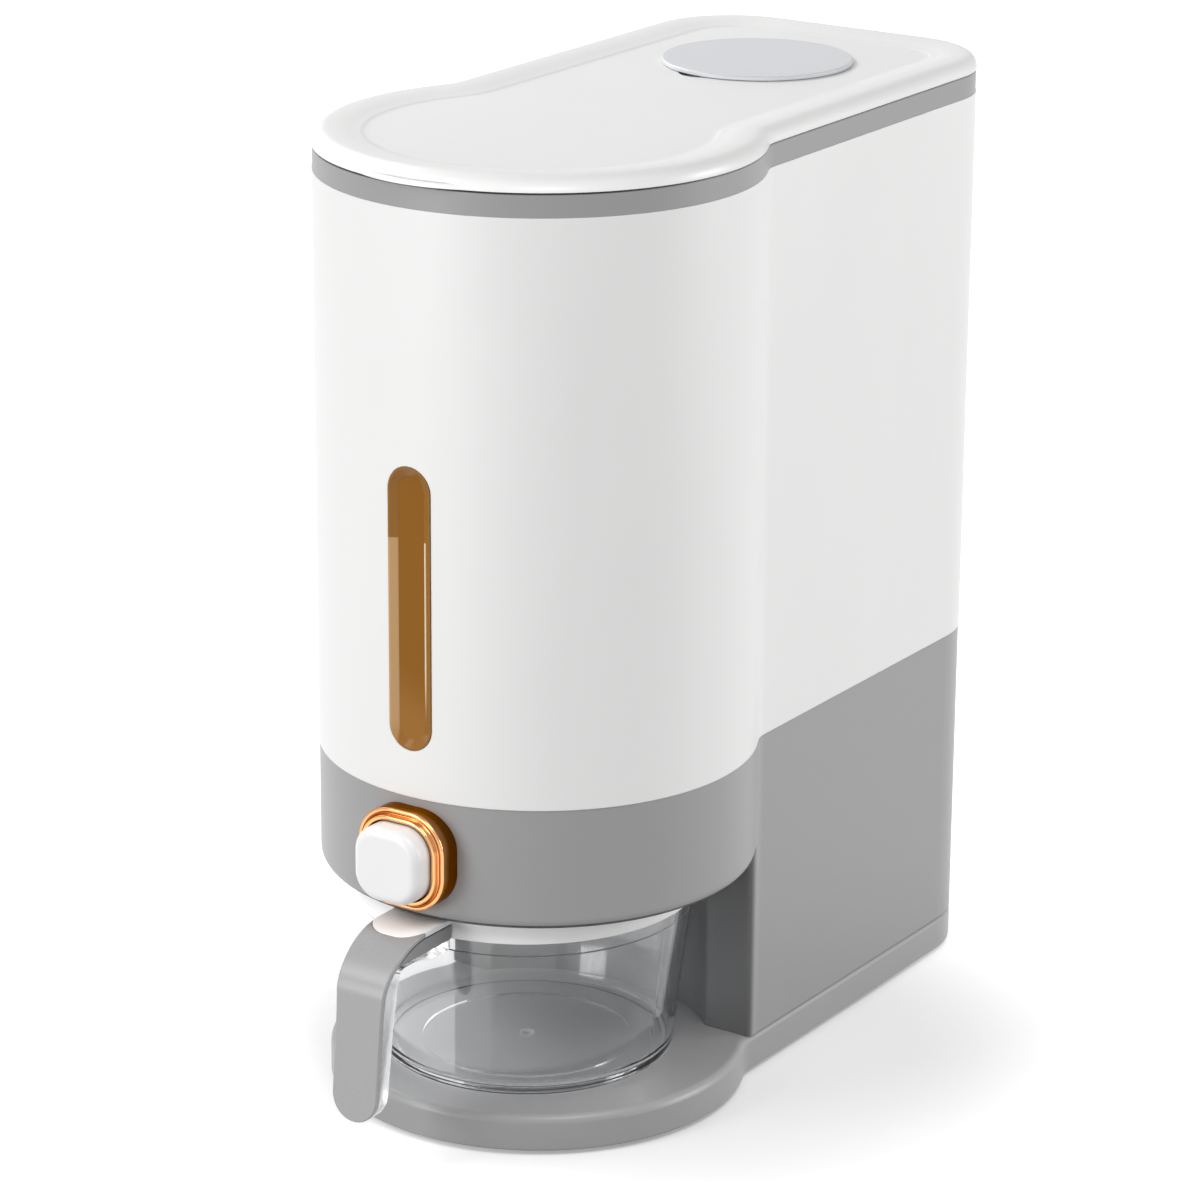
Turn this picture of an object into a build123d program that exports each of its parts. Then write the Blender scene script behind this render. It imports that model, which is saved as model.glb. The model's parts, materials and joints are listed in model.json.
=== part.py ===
"""Push-button rice dispenser: keyhole-plan bin, dispensing head, rear column, base and cup.

Millimetres, +Z up, the front faces -Y. The solids are drawn about the axis of the round
front, and each one is moved at the end so that the origin lies on the floor under the
middle of the whole object.
"""
import math
import os

from build123d import *

# Plan outline, shared by the bin, head, column, band and lid
FRONT_R = 95.0
REAR_STEP_IN = 13.5
REAR_Y = 257.0
CORNER_R = 43.0
NECK_R = 17.0
GREY_INSET = 0.3
WALL = 2.5

# Heights, stacked from the floor
FOOT_PROUD = 2.0
BASE_H = 16.0
BAY_H = 86.0
HEAD_H = 54.0
SHELL_H = 251.0
BAND_H = 10.0
LID_H = 6.7

# Clearances
SLIP = 0.2
RUN = 0.3
GLUE = 0.05
PIN_RUN = 0.05
PIN_HOLD = 0.02

# Base, feet and their screws
BASE_FRONT_IN = 3.5
BASE_TOP_ROUND = 3.5
BASE_EDGE_ROUND = 1.2
BASE_DECK = 3.0
BASE_WALL = 3.0
RIB_T = 2.0
RIB_H = 9.0
FOOT_R = 9.0
FOOT_SUNK = 1.0
FOOT_POST_R = 12.0
FOOT_EDGE_IN = 20.7
FOOT_TURN = 42.7
FOOT_SIDE_IN = 25.5
FOOT_REAR_IN = 41.0
SCREW_R = 1.6
SCREW_HEAD_R = 3.4
SCREW_HEAD_H = 2.4
SCREW_BITE = 12.0
BOSS_R = 5.0
BOSS_H = 18.0
BOSS_SET_IN = 4.4
BASE_SCREW_BACK = 20.0
SCREW_SEAT = 3.0

# Dispensing head and column
HEAD_FLOOR = 2.5
HEAD_ROUND = 5.0
COLUMN_FRONT = 46.0
COLUMN_ROUND = 3.0
NICHE_GAP = 5.0
TONGUE_H = 8.0
TONGUE_T = 2.0

# Window
WINDOW_W = 21.4
WINDOW_H = 123.0
WINDOW_UP = 82.0
PANE_W = 12.6
PANE_SINK = 1.9
LENS_LIP = 0.8
LENS_FLANGE = 2.5
LENS_FLANGE_T = 1.4

# Band, gasket and lid
BAND_IN = 8.0
BAND_CHAMFER = 0.6
BAND_SKIRT_H = 10.0
BAND_SKIRT_T = 2.3
GASKET_W = 2.7
GASKET_H = 1.5
LID_ROUND = 6.0
LID_CREST_IN = 11.0
LID_PANEL_IN = 21.0
LID_PANEL_SINK = 2.4
LID_SOFT_R = 30.0
LID_PANEL_T = 2.4
LID_PLUG_H = 8.0
LID_PLUG_T = 2.2
LIP_W = 50.0
LIP_OUT = 2.0
LIP_H = 2.4
LIP_ROUND = 1.8

# Rear hinge
HINGE_OUT = 4.2
KNUCKLE_R = 3.6
HINGE_PIN_R = 1.5
KNUCKLE_END_IN = 8.5
EAR_W = 12.0
EAR_DROP = 7.0

# Desiccant basket and cap in the lid
CAP_R = 42.5
CAP_FROM_REAR = 86.0
CAP_T = 1.9
CAP_ROUND = 0.8
CAP_PLUG_H = 6.0
CAP_PLUG_T = 1.6
BASKET_R = 37.0
BASKET_T = 1.8
BASKET_DEPTH = 34.0
BASKET_FLANGE_R = 40.8
BASKET_FLANGE_T = 1.4
BASKET_SINK = 1.8
BASKET_BOSS_T = 3.0
BASKET_SLOTS = 12
BASKET_SLOT_W = 4.0
BASKET_SLOT_H = 18.0
NOTCH_R = 11.0
NOTCH_OUT = 2.5
NOTCH_TURN = 258.0

# Button
BUTTON_Z_UP = 28.5
BEZEL_W = 43.5
BEZEL_R = 16.0
BEZEL_PROUD = 8.0
BEZEL_STEP_W = 39.0
BEZEL_STEP_R = 14.5
BEZEL_STEP_PROUD = 2.2
BEZEL_ROUND = 1.0
BEZEL_SLEEVE_W = 37.2
BEZEL_SLEEVE_END = 6.5
CAP_W = 33.0
CAP_CORNER = 12.0
CAP_PROUD = 9.3
CAP_WALL = 2.0
CAP_EDGE = 4.0
CAP_SIDE_GAP = 0.5
STEM_R = 6.0
STEM_FLANGE_W = 36.5
STEM_FLANGE_T = 2.0

# Outlet, shutter and return spring
SLOT_W = 46.0
SLOT_L = 8.0
SLOT_LAP = 1.0
SLOT_FROM_FRONT = 43.0
THROAT_WALL = 2.5
CHUTE_LIFT = 0.1
GATE_T = 2.5
GATE_SIDE = 9.0
GATE_BACK = 10.0
GATE_TAB_W = 24.0
GATE_TAB_T = 2.5
GATE_TAB_FROM_SLOT = 25.5
GATE_TAB_OVER = 6.5
LIP_T = 2.1
LIP_REACH = 4.0
CHUTE_T = 2.5
CHUTE_WALL = 2.6
CHUTE_MARGIN = 14.0
CHUTE_EAR = 8.0
CHUTE_POST_R = 3.2
CHUTE_SOCKET_H = 18.0
CHUTE_SOCKET_T = 2.0
SMALL_SCREW_R = 1.3
SMALL_HEAD_R = 2.6
SMALL_HEAD_H = 1.8
SPRING_R = 5.0
SPRING_WIRE = 1.1
SPRING_TURNS = 6
SPRING_DROP = 8.5
SPRING_PIN_R = 3.0
SPRING_PIN_L = 5.0

# Hopper: how far each side runs out for every millimetre of rise
HOPPER_RISE = 160.0
HOPPER_MOUTH_UP = 8.0
HOPPER_SIDE_RUN = 1.75
HOPPER_FRONT_RUN = 1.75
HOPPER_REAR_RUN = 1.9
HOPPER_SHEET = 2.5

# Cup, collar and handle
CUP_Y = -9.0
CUP_RIM_IN = 21.6
CUP_TAPER = 9.4
CUP_WALL = 2.4
CUP_FLOOR = 3.2
CUP_FOOT_ROUND = 3.5
CUP_INNER_ROUND = 5.0
CUP_STEP = 0.6
CUP_STEP_DOWN = 15.0
CUP_RECESS_IN = 18.0
CUP_RECESS = 1.0
COLLAR_WALL = 1.4
COLLAR_TOP = 1.8
COLLAR_H = 9.3
COLLAR_GAP = 1.5
COLLAR_MOUTH_IN = 3.9
TAB_HALF_W = 13.6
TAB_CORNER = 11.0
TAB_TIP = 27.4
HANDLE_HALF_LOW = 11.4
HANDLE_HALF_TOP = 13.5
HANDLE_FLARE_H = 43.0
HANDLE_TOP_GAP = 1.0
HANDLE_LOW_GAP = 4.5
HANDLE_REACH = 54.1
HANDLE_LEAN = 5.6
BOW_OUT = 30.0
BOW_DROP = 22.0
BOW_PULL = 0.48
COVER_T = 2.3
COVER_SHORT = 3.5
COVER_EDGE = 0.7
CORE_SET_IN = 0.3
CORE_ARM_H = 11.5
CORE_BULGE = 2.7
CORE_BULGE_L = 11.0
CORE_BULGE_RUN = 14.0
CORE_BEND = 8.0
CORE_HEEL = 4.5
CORE_KNEE = 18.2
CORE_TOE = 8.2
LINER_H = 9.8
LINER_GAP = 0.9

# Levels and places that follow from the sizes above
REAR_HALF = FRONT_R - REAR_STEP_IN
BASE_FRONT_R = FRONT_R - BASE_FRONT_IN
BASE_LOW = FOOT_PROUD
BASE_TOP = BASE_LOW + BASE_H
HEAD_LOW = BASE_TOP + BAY_H
SHELL_LOW = HEAD_LOW + HEAD_H
BAND_LOW = SHELL_LOW + SHELL_H
BAND_TOP = BAND_LOW + BAND_H
REBATE_LOW = BAND_TOP - GASKET_H - SLIP / 2
LID_LOW = BAND_TOP + RUN
LID_TOP = LID_LOW + LID_H
PANEL_TOP = LID_TOP - LID_PANEL_SINK
PANEL_LOW = PANEL_TOP - LID_PANEL_T
TONGUE_IN = WALL + SLIP
TONGUE_TOP = SHELL_LOW + TONGUE_H
LINER_IN = TONGUE_IN + TONGUE_T + RUN
WINDOW_Z = SHELL_LOW + WINDOW_UP
CAP_Y = REAR_Y - CAP_FROM_REAR

HEAD_R = FRONT_R - GREY_INSET
HEAD_DECK = HEAD_LOW + HEAD_FLOOR
BUTTON_Z = HEAD_LOW + BUTTON_Z_UP
BEZEL_FRONT = -HEAD_R - BEZEL_PROUD
BEZEL_STEP_FRONT = BEZEL_FRONT - BEZEL_STEP_PROUD
BEZEL_BACK = -HEAD_R + BEZEL_SLEEVE_END
BEZEL_OPEN_W = CAP_W + 2 * CAP_SIDE_GAP
BEZEL_OPEN_R = CAP_CORNER + CAP_SIDE_GAP
CAP_FRONT = BEZEL_STEP_FRONT - CAP_PROUD
CAP_BACK = BEZEL_BACK + RUN

TRAVEL = SLOT_L + SLOT_LAP
SLOT_FRONT = SLOT_FROM_FRONT - FRONT_R
SLOT_BACK = SLOT_FRONT + SLOT_L
LIP_LOW = HEAD_DECK + CHUTE_LIFT
GATE_LOW = LIP_LOW + LIP_T + RUN
GATE_TOP = GATE_LOW + GATE_T
GATE_HALF = SLOT_W / 2 + GATE_SIDE
GATE_FRONT = SLOT_FRONT - GATE_TAB_FROM_SLOT - GATE_TAB_T
CHUTE_LOW = GATE_TOP + RUN
CHUTE_TOP = CHUTE_LOW + CHUTE_T
CHUTE_FRONT = SLOT_FRONT - CHUTE_MARGIN
CHUTE_BACK = SLOT_BACK + CHUTE_MARGIN
CHUTE_HALF = GATE_HALF + RUN + CHUTE_WALL
POST_X = CHUTE_HALF + CHUTE_EAR / 2
SOCKET_FRONT = SLOT_FRONT - THROAT_WALL - SLIP - CHUTE_SOCKET_T
SPRING_Z = BUTTON_Z - SPRING_DROP
SPRING_LOW = GATE_FRONT + GATE_TAB_T
SPRING_LENGTH = SOCKET_FRONT - SPRING_LOW

CUP_RIM_R = FRONT_R - CUP_RIM_IN
CUP_FOOT_R = CUP_RIM_R - CUP_TAPER
CUP_RECESS_R = CUP_FOOT_R - CUP_RECESS_IN
COLLAR_MOUTH_R = CUP_RIM_R - COLLAR_MOUTH_IN
COLLAR_R = CUP_RIM_R + SLIP + COLLAR_WALL
COLLAR_HIGH = HEAD_LOW - COLLAR_GAP
COLLAR_LOW = COLLAR_HIGH - COLLAR_H
CUP_LOW = BASE_TOP + RUN
CUP_TOP = COLLAR_HIGH - COLLAR_TOP - GLUE
NICHE_R = COLLAR_R + NICHE_GAP
HANDLE_TOP = HEAD_LOW - HANDLE_TOP_GAP
HANDLE_LOW = BASE_TOP + HANDLE_LOW_GAP
HANDLE_FRONT = CUP_Y - COLLAR_R - HANDLE_REACH

HINGE_Y = REAR_Y + HINGE_OUT
LID_KNUCKLE_W = 2 * (REAR_HALF - CORNER_R - KNUCKLE_END_IN)
HINGE_BACK = HINGE_Y + KNUCKLE_R
SHIFT_Y = -(HINGE_BACK + HANDLE_FRONT) / 2

FAR = 4 * (REAR_Y + FRONT_R)


def keyhole(inset=0.0, front_r=FRONT_R):
    """Plan outline: a round front that joins a straight-sided rear through concave necks."""
    neck_x = REAR_HALF + NECK_R
    neck_y = math.sqrt((front_r + NECK_R) ** 2 - neck_x**2)
    turn = math.atan2(neck_y, neck_x)
    front = front_r - inset
    neck = NECK_R + inset
    half = REAR_HALF - inset
    corner = CORNER_R - inset
    rear = REAR_Y - inset
    join = (front * math.cos(turn), front * math.sin(turn))
    bend = math.pi + turn / 2
    mid_neck = (neck_x + neck * math.cos(bend), neck_y + neck * math.sin(bend))
    mid_corner = (half - corner + corner * math.sqrt(0.5), rear - corner + corner * math.sqrt(0.5))
    right = [
        ThreePointArc(join, mid_neck, (half, neck_y)),
        Line((half, neck_y), (half, rear - corner)),
        ThreePointArc((half, rear - corner), mid_corner, (half - corner, rear)),
    ]
    left = [mirror(edge, about=Plane.YZ) for edge in right]
    nose = ThreePointArc((-join[0], join[1]), (0, -front), join)
    back = Line((half - corner, rear), (corner - half, rear))
    return make_face([nose, *right, back, *left])


def prism(face, low, high):
    """Upright prism of a plan outline between two heights."""
    return Pos(0, 0, low) * extrude(face, amount=high - low, dir=(0, 0, 1))


def block(x_low, x_high, y_low, y_high, z_low, z_high):
    """Box between two corners."""
    middle = Pos((x_low + x_high) / 2, (y_low + y_high) / 2, (z_low + z_high) / 2)
    return middle * Box(x_high - x_low, y_high - y_low, z_high - z_low)


def post(x, y, radius, low, high):
    """Upright cylinder between two heights."""
    return Pos(x, y, (low + high) / 2) * Cylinder(radius, high - low)


def rod_y(x, z, radius, front, back):
    """Cylinder along Y."""
    return Pos(x, (front + back) / 2, z) * Rot(90, 0, 0) * Cylinder(radius, back - front)


def rod_x(y, z, radius, left, right):
    """Cylinder along X."""
    return Pos((left + right) / 2, y, z) * Rot(0, 90, 0) * Cylinder(radius, right - left)


def front_plane(y, z):
    """Sketch plane that faces the front: sketch x is X, sketch y is Z."""
    return Plane(origin=(0, y, z), x_dir=(1, 0, 0), z_dir=(0, -1, 0))


def pad(width, corner, back, front):
    """Rounded square on the button's axis."""
    square = front_plane(back, BUTTON_Z) * RectangleRounded(width, width, corner)
    return extrude(square, amount=back - front)


def stadium(width, height, back, front):
    """Upright round-ended bar on the window's axis."""
    slot = front_plane(back, WINDOW_Z) * SlotOverall(height, width, rotation=90)
    return extrude(slot, amount=back - front)


def turned(points, rounds):
    """Solid of revolution of a closed outline, given as radius and height with corner rounds."""
    outline = make_face(FilletPolyline(*points, radius=rounds, close=True))
    return revolve(Plane.XZ * outline, axis=Axis.Z)


def edges_at(solid, level):
    """Edges that lie flat at one height."""
    return solid.edges().filter_by_position(Axis.Z, level - GLUE, level + GLUE)


def make_outer_shell():
    """White bin wall with the window slot."""
    wall = prism(keyhole() - keyhole(WALL), SHELL_LOW, BAND_LOW)
    return wall - stadium(WINDOW_W, WINDOW_H, -FRONT_R / 2, -FAR)


def make_window_lens():
    """Amber pane, sunk behind a bevelled border, with a flange behind the wall."""
    width = WINDOW_W - 2 * SLIP
    height = WINDOW_H - 2 * SLIP
    flange_r = FRONT_R - WALL - GLUE
    flange_back = LENS_FLANGE_T - math.sqrt(flange_r**2 - (width / 2 + LENS_FLANGE) ** 2)
    body = stadium(width, height, flange_back, -FRONT_R)
    flange = stadium(width + 2 * LENS_FLANGE, height + 2 * LENS_FLANGE, flange_back, -FRONT_R)
    flange &= post(0, 0, flange_r, SHELL_LOW, BAND_LOW)
    mouth = front_plane(-FRONT_R, WINDOW_Z) * SlotOverall(
        height - 2 * LENS_LIP, width - 2 * LENS_LIP, rotation=90
    )
    sill = height - width + PANE_W
    pane = front_plane(PANE_SINK - FRONT_R, WINDOW_Z) * SlotOverall(sill, PANE_W, rotation=90)
    return body + flange - loft([mouth, pane], ruled=True)


def make_rim_ring():
    """Grey band with its locating skirt, gasket rebate and hinge ears."""
    ring = prism(keyhole(GREY_INSET) - keyhole(BAND_IN), BAND_LOW, BAND_TOP)
    outer = edges_at(ring, BAND_TOP).sort_by(Axis.Y)
    rim = [edge for edge in outer if on_outline(edge, GREY_INSET)]
    ring = chamfer(rim, BAND_CHAMFER)
    skirt_in = TONGUE_IN + BAND_SKIRT_T
    skirt = keyhole(TONGUE_IN) - keyhole(skirt_in)
    ring += prism(skirt, BAND_LOW - BAND_SKIRT_H, BAND_LOW)
    ring -= prism(keyhole(BAND_IN - GASKET_W - SLIP), REBATE_LOW, BAND_TOP)
    inner = LID_KNUCKLE_W / 2 + RUN
    for side in (-1, 1):
        low, high = sorted((side * inner, side * (inner + EAR_W)))
        ear = rod_x(HINGE_Y, BAND_TOP, KNUCKLE_R, low, high)
        ear += block(
            low, high, REAR_Y - BAND_IN / 2, HINGE_Y, BAND_TOP - EAR_DROP, BAND_TOP - KNUCKLE_R / 2
        )
        ear -= block(low, high, -FAR, REAR_Y - GREY_INSET, BAND_TOP - FAR, BAND_TOP + FAR)
        ring += ear - rod_x(HINGE_Y, BAND_TOP, HINGE_PIN_R + PIN_HOLD, low - 1, high + 1)
    return ring


def on_outline(edge, inset):
    """True where an edge's middle lies on the plan outline at this inset."""
    spot = edge @ 0.5
    flat = Vertex(spot.X, spot.Y, 0)
    return keyhole(inset).wire().distance_to(flat) < GLUE


def make_lid_gasket():
    """Soft ring in the band's rebate."""
    outline = keyhole(BAND_IN - GASKET_W) - keyhole(BAND_IN)
    return prism(outline, REBATE_LOW, REBATE_LOW + GASKET_H)


def make_lid():
    """Lid with a rolled rim, sunk panel, plug skirt, lift lip, basket seat and hinge knuckle."""
    lid = prism(keyhole(), LID_LOW, LID_TOP)
    lid = fillet(edges_at(lid, LID_TOP), LID_ROUND)
    crest = Pos(0, 0, LID_TOP) * keyhole(LID_CREST_IN)
    panel = Pos(0, 0, PANEL_TOP) * keyhole(LID_PANEL_IN)
    lid -= loft([crest, panel], ruled=True)
    brow = [edge for edge in edges_at(lid, LID_TOP) if on_outline(edge, LID_CREST_IN)]
    lid = fillet(brow + edges_at(lid, PANEL_TOP), LID_SOFT_R)
    plug_in = BAND_IN + 2 * SLIP
    lid -= prism(keyhole(plug_in + LID_PLUG_T), LID_LOW, PANEL_LOW)
    lid += prism(keyhole(plug_in) - keyhole(plug_in + LID_PLUG_T), LID_LOW - LID_PLUG_H, LID_LOW)
    lid += make_lift_lip()
    seat_top = PANEL_TOP - BASKET_SINK - BASKET_FLANGE_T
    lid += post(0, CAP_Y, BASKET_FLANGE_R + SLIP + BASKET_T, seat_top - BASKET_BOSS_T, PANEL_LOW)
    lid -= post(0, CAP_Y, BASKET_R + SLIP, LID_LOW - LID_PLUG_H, LID_TOP)
    lid -= post(0, CAP_Y, BASKET_FLANGE_R + SLIP, seat_top, LID_TOP)
    away = CAP_R + NOTCH_OUT - NOTCH_R
    turn = math.radians(NOTCH_TURN)
    notch_x, notch_y = away * math.cos(turn), CAP_Y + away * math.sin(turn)
    lid -= post(notch_x, notch_y, NOTCH_R, PANEL_TOP - BASKET_SINK, LID_TOP)
    half = LID_KNUCKLE_W / 2
    knuckle = rod_x(HINGE_Y, BAND_TOP, KNUCKLE_R, -half, half)
    knuckle += block(-half, half, REAR_Y - LID_ROUND / 2, HINGE_Y, LID_LOW, BAND_TOP + KNUCKLE_R)
    knuckle -= rod_x(HINGE_Y, BAND_TOP, HINGE_PIN_R + PIN_RUN, -half - 1, half + 1)
    knuckle -= prism(keyhole(), LID_LOW - LID_PLUG_H, LID_TOP)
    return lid + knuckle


def make_lift_lip():
    """Thin crescent on the lid's front edge for the fingertips."""
    sag = FRONT_R - math.sqrt(FRONT_R**2 - (LIP_W / 2) ** 2) + LIP_OUT
    lip_r = ((LIP_W / 2) ** 2 + sag**2) / (2 * sag)
    lip = post(0, lip_r - FRONT_R - LIP_OUT, lip_r, LID_LOW, LID_LOW + LIP_H)
    lip = fillet(edges_at(lip, LID_LOW + LIP_H), LIP_ROUND)
    lip &= block(-LIP_W / 2, LIP_W / 2, -FAR, -FRONT_R / 2, LID_LOW, LID_LOW + LIP_H)
    return lip - post(0, 0, FRONT_R - LIP_OUT, LID_LOW, LID_LOW + LIP_H)


def make_hinge_pin():
    """Pin through the band's ears and the lid's knuckle."""
    half = LID_KNUCKLE_W / 2 + RUN + EAR_W
    return rod_x(HINGE_Y, BAND_TOP, HINGE_PIN_R, -half, half)


def make_desiccant_basket():
    """Slotted cup that hangs in the lid by its flange."""
    flange_top = PANEL_TOP - BASKET_SINK
    low = flange_top - BASKET_DEPTH
    inner = BASKET_R - BASKET_T
    basket = post(0, CAP_Y, BASKET_R, low, flange_top)
    basket += post(0, CAP_Y, BASKET_FLANGE_R, flange_top - BASKET_FLANGE_T, flange_top)
    basket -= post(0, CAP_Y, inner, low + BASKET_T, flange_top)
    middle = low + BASKET_DEPTH / 2 - BASKET_T
    slot = Pos(BASKET_R, 0, middle) * Box(4 * BASKET_T, BASKET_SLOT_W, BASKET_SLOT_H)
    turn = 360 / BASKET_SLOTS
    return basket - [Pos(0, CAP_Y, 0) * Rot(0, 0, turn * step) * slot for step in range(BASKET_SLOTS)]


def make_desiccant_cap():
    """Round cover with a plug that drops into the basket."""
    low = PANEL_TOP + RUN
    disc = post(0, CAP_Y, CAP_R, low, low + CAP_T)
    disc = fillet(edges_at(disc, low + CAP_T), CAP_ROUND)
    plug_r = BASKET_R - BASKET_T - RUN
    plug = post(0, CAP_Y, plug_r, low - CAP_PLUG_H, low)
    return disc + plug - post(0, CAP_Y, plug_r - CAP_PLUG_T, low - CAP_PLUG_H, low)


def make_lower_housing():
    """Grey head over the cup bay and the column behind it, open above and below."""
    head = prism(keyhole(GREY_INSET), HEAD_LOW, SHELL_LOW)
    head = fillet(edges_at(head, HEAD_LOW), HEAD_ROUND)
    column = column_solid(GREY_INSET, COLUMN_FRONT, NICHE_R, BASE_TOP, SHELL_LOW)
    corners = column.edges().filter_by(Axis.Z).filter_by_position(Axis.Y, 0, COLUMN_FRONT + GLUE)
    housing = head + fillet(corners, COLUMN_ROUND)
    housing -= prism(keyhole(GREY_INSET + WALL), HEAD_DECK, SHELL_LOW)
    housing -= column_solid(GREY_INSET + WALL, COLUMN_FRONT + WALL, NICHE_R + WALL, BASE_TOP, HEAD_DECK)
    housing += prism(keyhole(TONGUE_IN) - keyhole(TONGUE_IN + TONGUE_T), SHELL_LOW, TONGUE_TOP)
    housing += prism(keyhole(GREY_INSET) - keyhole(TONGUE_IN + TONGUE_T), SHELL_LOW - TONGUE_T, SHELL_LOW)
    for x, y in base_screw_places():
        boss = post(x, y, BOSS_R, BASE_TOP, BASE_TOP + BOSS_H)
        housing += boss - post(x, y, SCREW_R + PIN_HOLD, BASE_TOP, BASE_TOP + SCREW_BITE + SLIP)
    for x, y in chute_posts():
        pillar = post(x, y, CHUTE_POST_R, HEAD_DECK, CHUTE_LOW)
        housing += pillar - post(x, y, SMALL_SCREW_R + PIN_HOLD, HEAD_DECK, CHUTE_LOW)
    housing -= pad(BEZEL_SLEEVE_W + 2 * SLIP, BEZEL_STEP_R, -FRONT_R / 2, -FAR)
    drop = THROAT_WALL + SLIP
    housing -= block(
        -SLOT_W / 2 - drop, SLOT_W / 2 + drop, SLOT_FRONT - drop, SLOT_BACK + drop, HEAD_LOW, HEAD_DECK
    )
    return housing


def column_solid(inset, front, niche_r, low, high):
    """Rear part of the plan, cut flat at the front and scooped round the cup."""
    column = prism(keyhole(inset), low, high)
    column -= block(-FAR, FAR, -FAR, front, low, high)
    return column - post(0, CUP_Y, niche_r, low, high)


def base_screw_places():
    """Screw axes under the column: two behind its front wall and two in its rear corners."""
    wall = GREY_INSET + WALL + BOSS_SET_IN
    diagonal = (CORNER_R - wall) * math.sqrt(0.5)
    front = (REAR_HALF - wall, COLUMN_FRONT + BASE_SCREW_BACK)
    rear = (REAR_HALF - CORNER_R + diagonal, REAR_Y - CORNER_R + diagonal)
    return [(side * x, y) for x, y in (front, rear) for side in (-1, 1)]


def chute_posts():
    """Screw axes of the outlet chute."""
    rows = (CHUTE_FRONT + CHUTE_EAR / 2, CHUTE_BACK - CHUTE_EAR / 2)
    return [(side * POST_X, y) for y in rows for side in (-1, 1)]


def make_hopper():
    """Sloping floor inside the bin, on a skirt that stands on the housing's tongue."""
    mouth_low = SHELL_LOW - HOPPER_MOUTH_UP
    cavity = funnel(mouth_low)
    top = mouth_low + HOPPER_RISE
    body = prism(keyhole(TONGUE_IN), TONGUE_TOP, top) + prism(keyhole(LINER_IN), mouth_low, TONGUE_TOP)
    under = prism(keyhole(LINER_IN), mouth_low - HOPPER_SHEET, top) - Pos(0, 0, -HOPPER_SHEET) * cavity
    hopper = body - cavity - under
    half = SLOT_W / 2
    outer = block(
        -half - THROAT_WALL,
        half + THROAT_WALL,
        SLOT_FRONT - THROAT_WALL,
        SLOT_BACK + THROAT_WALL,
        CHUTE_TOP + SLIP / 2,
        mouth_low + HOPPER_SHEET,
    )
    bore = block(-half, half, SLOT_FRONT, SLOT_BACK, CHUTE_LOW, mouth_low + HOPPER_SHEET)
    return hopper + (outer - cavity - bore)


def funnel(low):
    """Space above the hopper's four slopes, from the outlet slot up."""
    half = SLOT_W / 2
    side = half + HOPPER_RISE * HOPPER_SIDE_RUN
    front = SLOT_FRONT - HOPPER_RISE * HOPPER_FRONT_RUN
    back = SLOT_BACK + HOPPER_RISE * HOPPER_REAR_RUN
    mouth = Pos(0, (SLOT_FRONT + SLOT_BACK) / 2, low) * Rectangle(2 * half, SLOT_L)
    top = Pos(0, (front + back) / 2, low + HOPPER_RISE) * Rectangle(2 * side, back - front)
    return loft([mouth, top], ruled=True)


def make_base_plate():
    """Foot plate: a decked tray with ribs, foot posts and screw posts."""
    outline = keyhole(GREY_INSET, BASE_FRONT_R + GREY_INSET)
    inner = keyhole(GREY_INSET + BASE_WALL, BASE_FRONT_R + GREY_INSET)
    plate = prism(outline, BASE_LOW, BASE_TOP)
    nose = [edge for edge in edges_at(plate, BASE_TOP) if (edge @ 0.5).Y < 0]
    plate = fillet(nose, BASE_TOP_ROUND)
    plate = fillet(edges_at(plate, BASE_LOW), BASE_EDGE_ROUND)
    hollow = prism(inner, BASE_LOW, BASE_TOP - BASE_DECK)
    ribs = [block(-FAR, FAR, y - RIB_T / 2, y + RIB_T / 2, BASE_TOP - RIB_H, BASE_TOP) for y in rib_rows()]
    ribs.append(block(-RIB_T / 2, RIB_T / 2, -FAR, FAR, BASE_TOP - RIB_H, BASE_TOP))
    plate -= hollow - ribs
    for x, y in foot_places().values():
        pedestal = post(x, y, FOOT_POST_R, BASE_LOW, BASE_TOP - BASE_DECK / 2)
        plate += pedestal - post(x, y, FOOT_R + SLIP, BASE_LOW, BASE_LOW + FOOT_SUNK)
    for x, y in base_screw_places():
        plate += post(x, y, SCREW_HEAD_R + BASE_WALL, BASE_LOW + FOOT_SUNK, BASE_TOP - BASE_DECK / 2)
        plate -= post(x, y, SCREW_HEAD_R + SLIP, BASE_LOW, BASE_TOP - SCREW_SEAT)
        plate -= post(x, y, SCREW_R + SLIP, BASE_LOW, BASE_TOP)
    return plate


def rib_rows():
    """Cross ribs under the base, spread between the front and the rear."""
    rows = 5
    step = (REAR_Y + BASE_FRONT_R) / (rows + 1)
    return [step * (row + 1) - BASE_FRONT_R for row in range(rows)]


def foot_places():
    """Foot centres by node name."""
    away = BASE_FRONT_R - FOOT_EDGE_IN
    turn = math.radians(FOOT_TURN)
    front = (away * math.cos(turn), -away * math.sin(turn))
    rear = (REAR_HALF - FOOT_SIDE_IN, REAR_Y - FOOT_REAR_IN)
    places = {}
    for end, (x, y) in (("front", front), ("rear", rear)):
        places[f"foot_{end}_left"] = (-x, y)
        places[f"foot_{end}_right"] = (x, y)
    return places


def make_foot(x, y):
    """Rubber pad glued into its post."""
    pad_solid = post(x, y, FOOT_R, 0, FOOT_PROUD + FOOT_SUNK)
    return fillet(edges_at(pad_solid, 0), FOOT_PROUD / 3)


def make_base_screws():
    """Screws that hold the base under the column."""
    seat = BASE_TOP - SCREW_SEAT
    screws = []
    for x, y in base_screw_places():
        head = post(x, y, SCREW_HEAD_R, seat - SCREW_HEAD_H, seat)
        screws.append(head + post(x, y, SCREW_R, seat, BASE_TOP + SCREW_BITE))
    return screws


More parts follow.
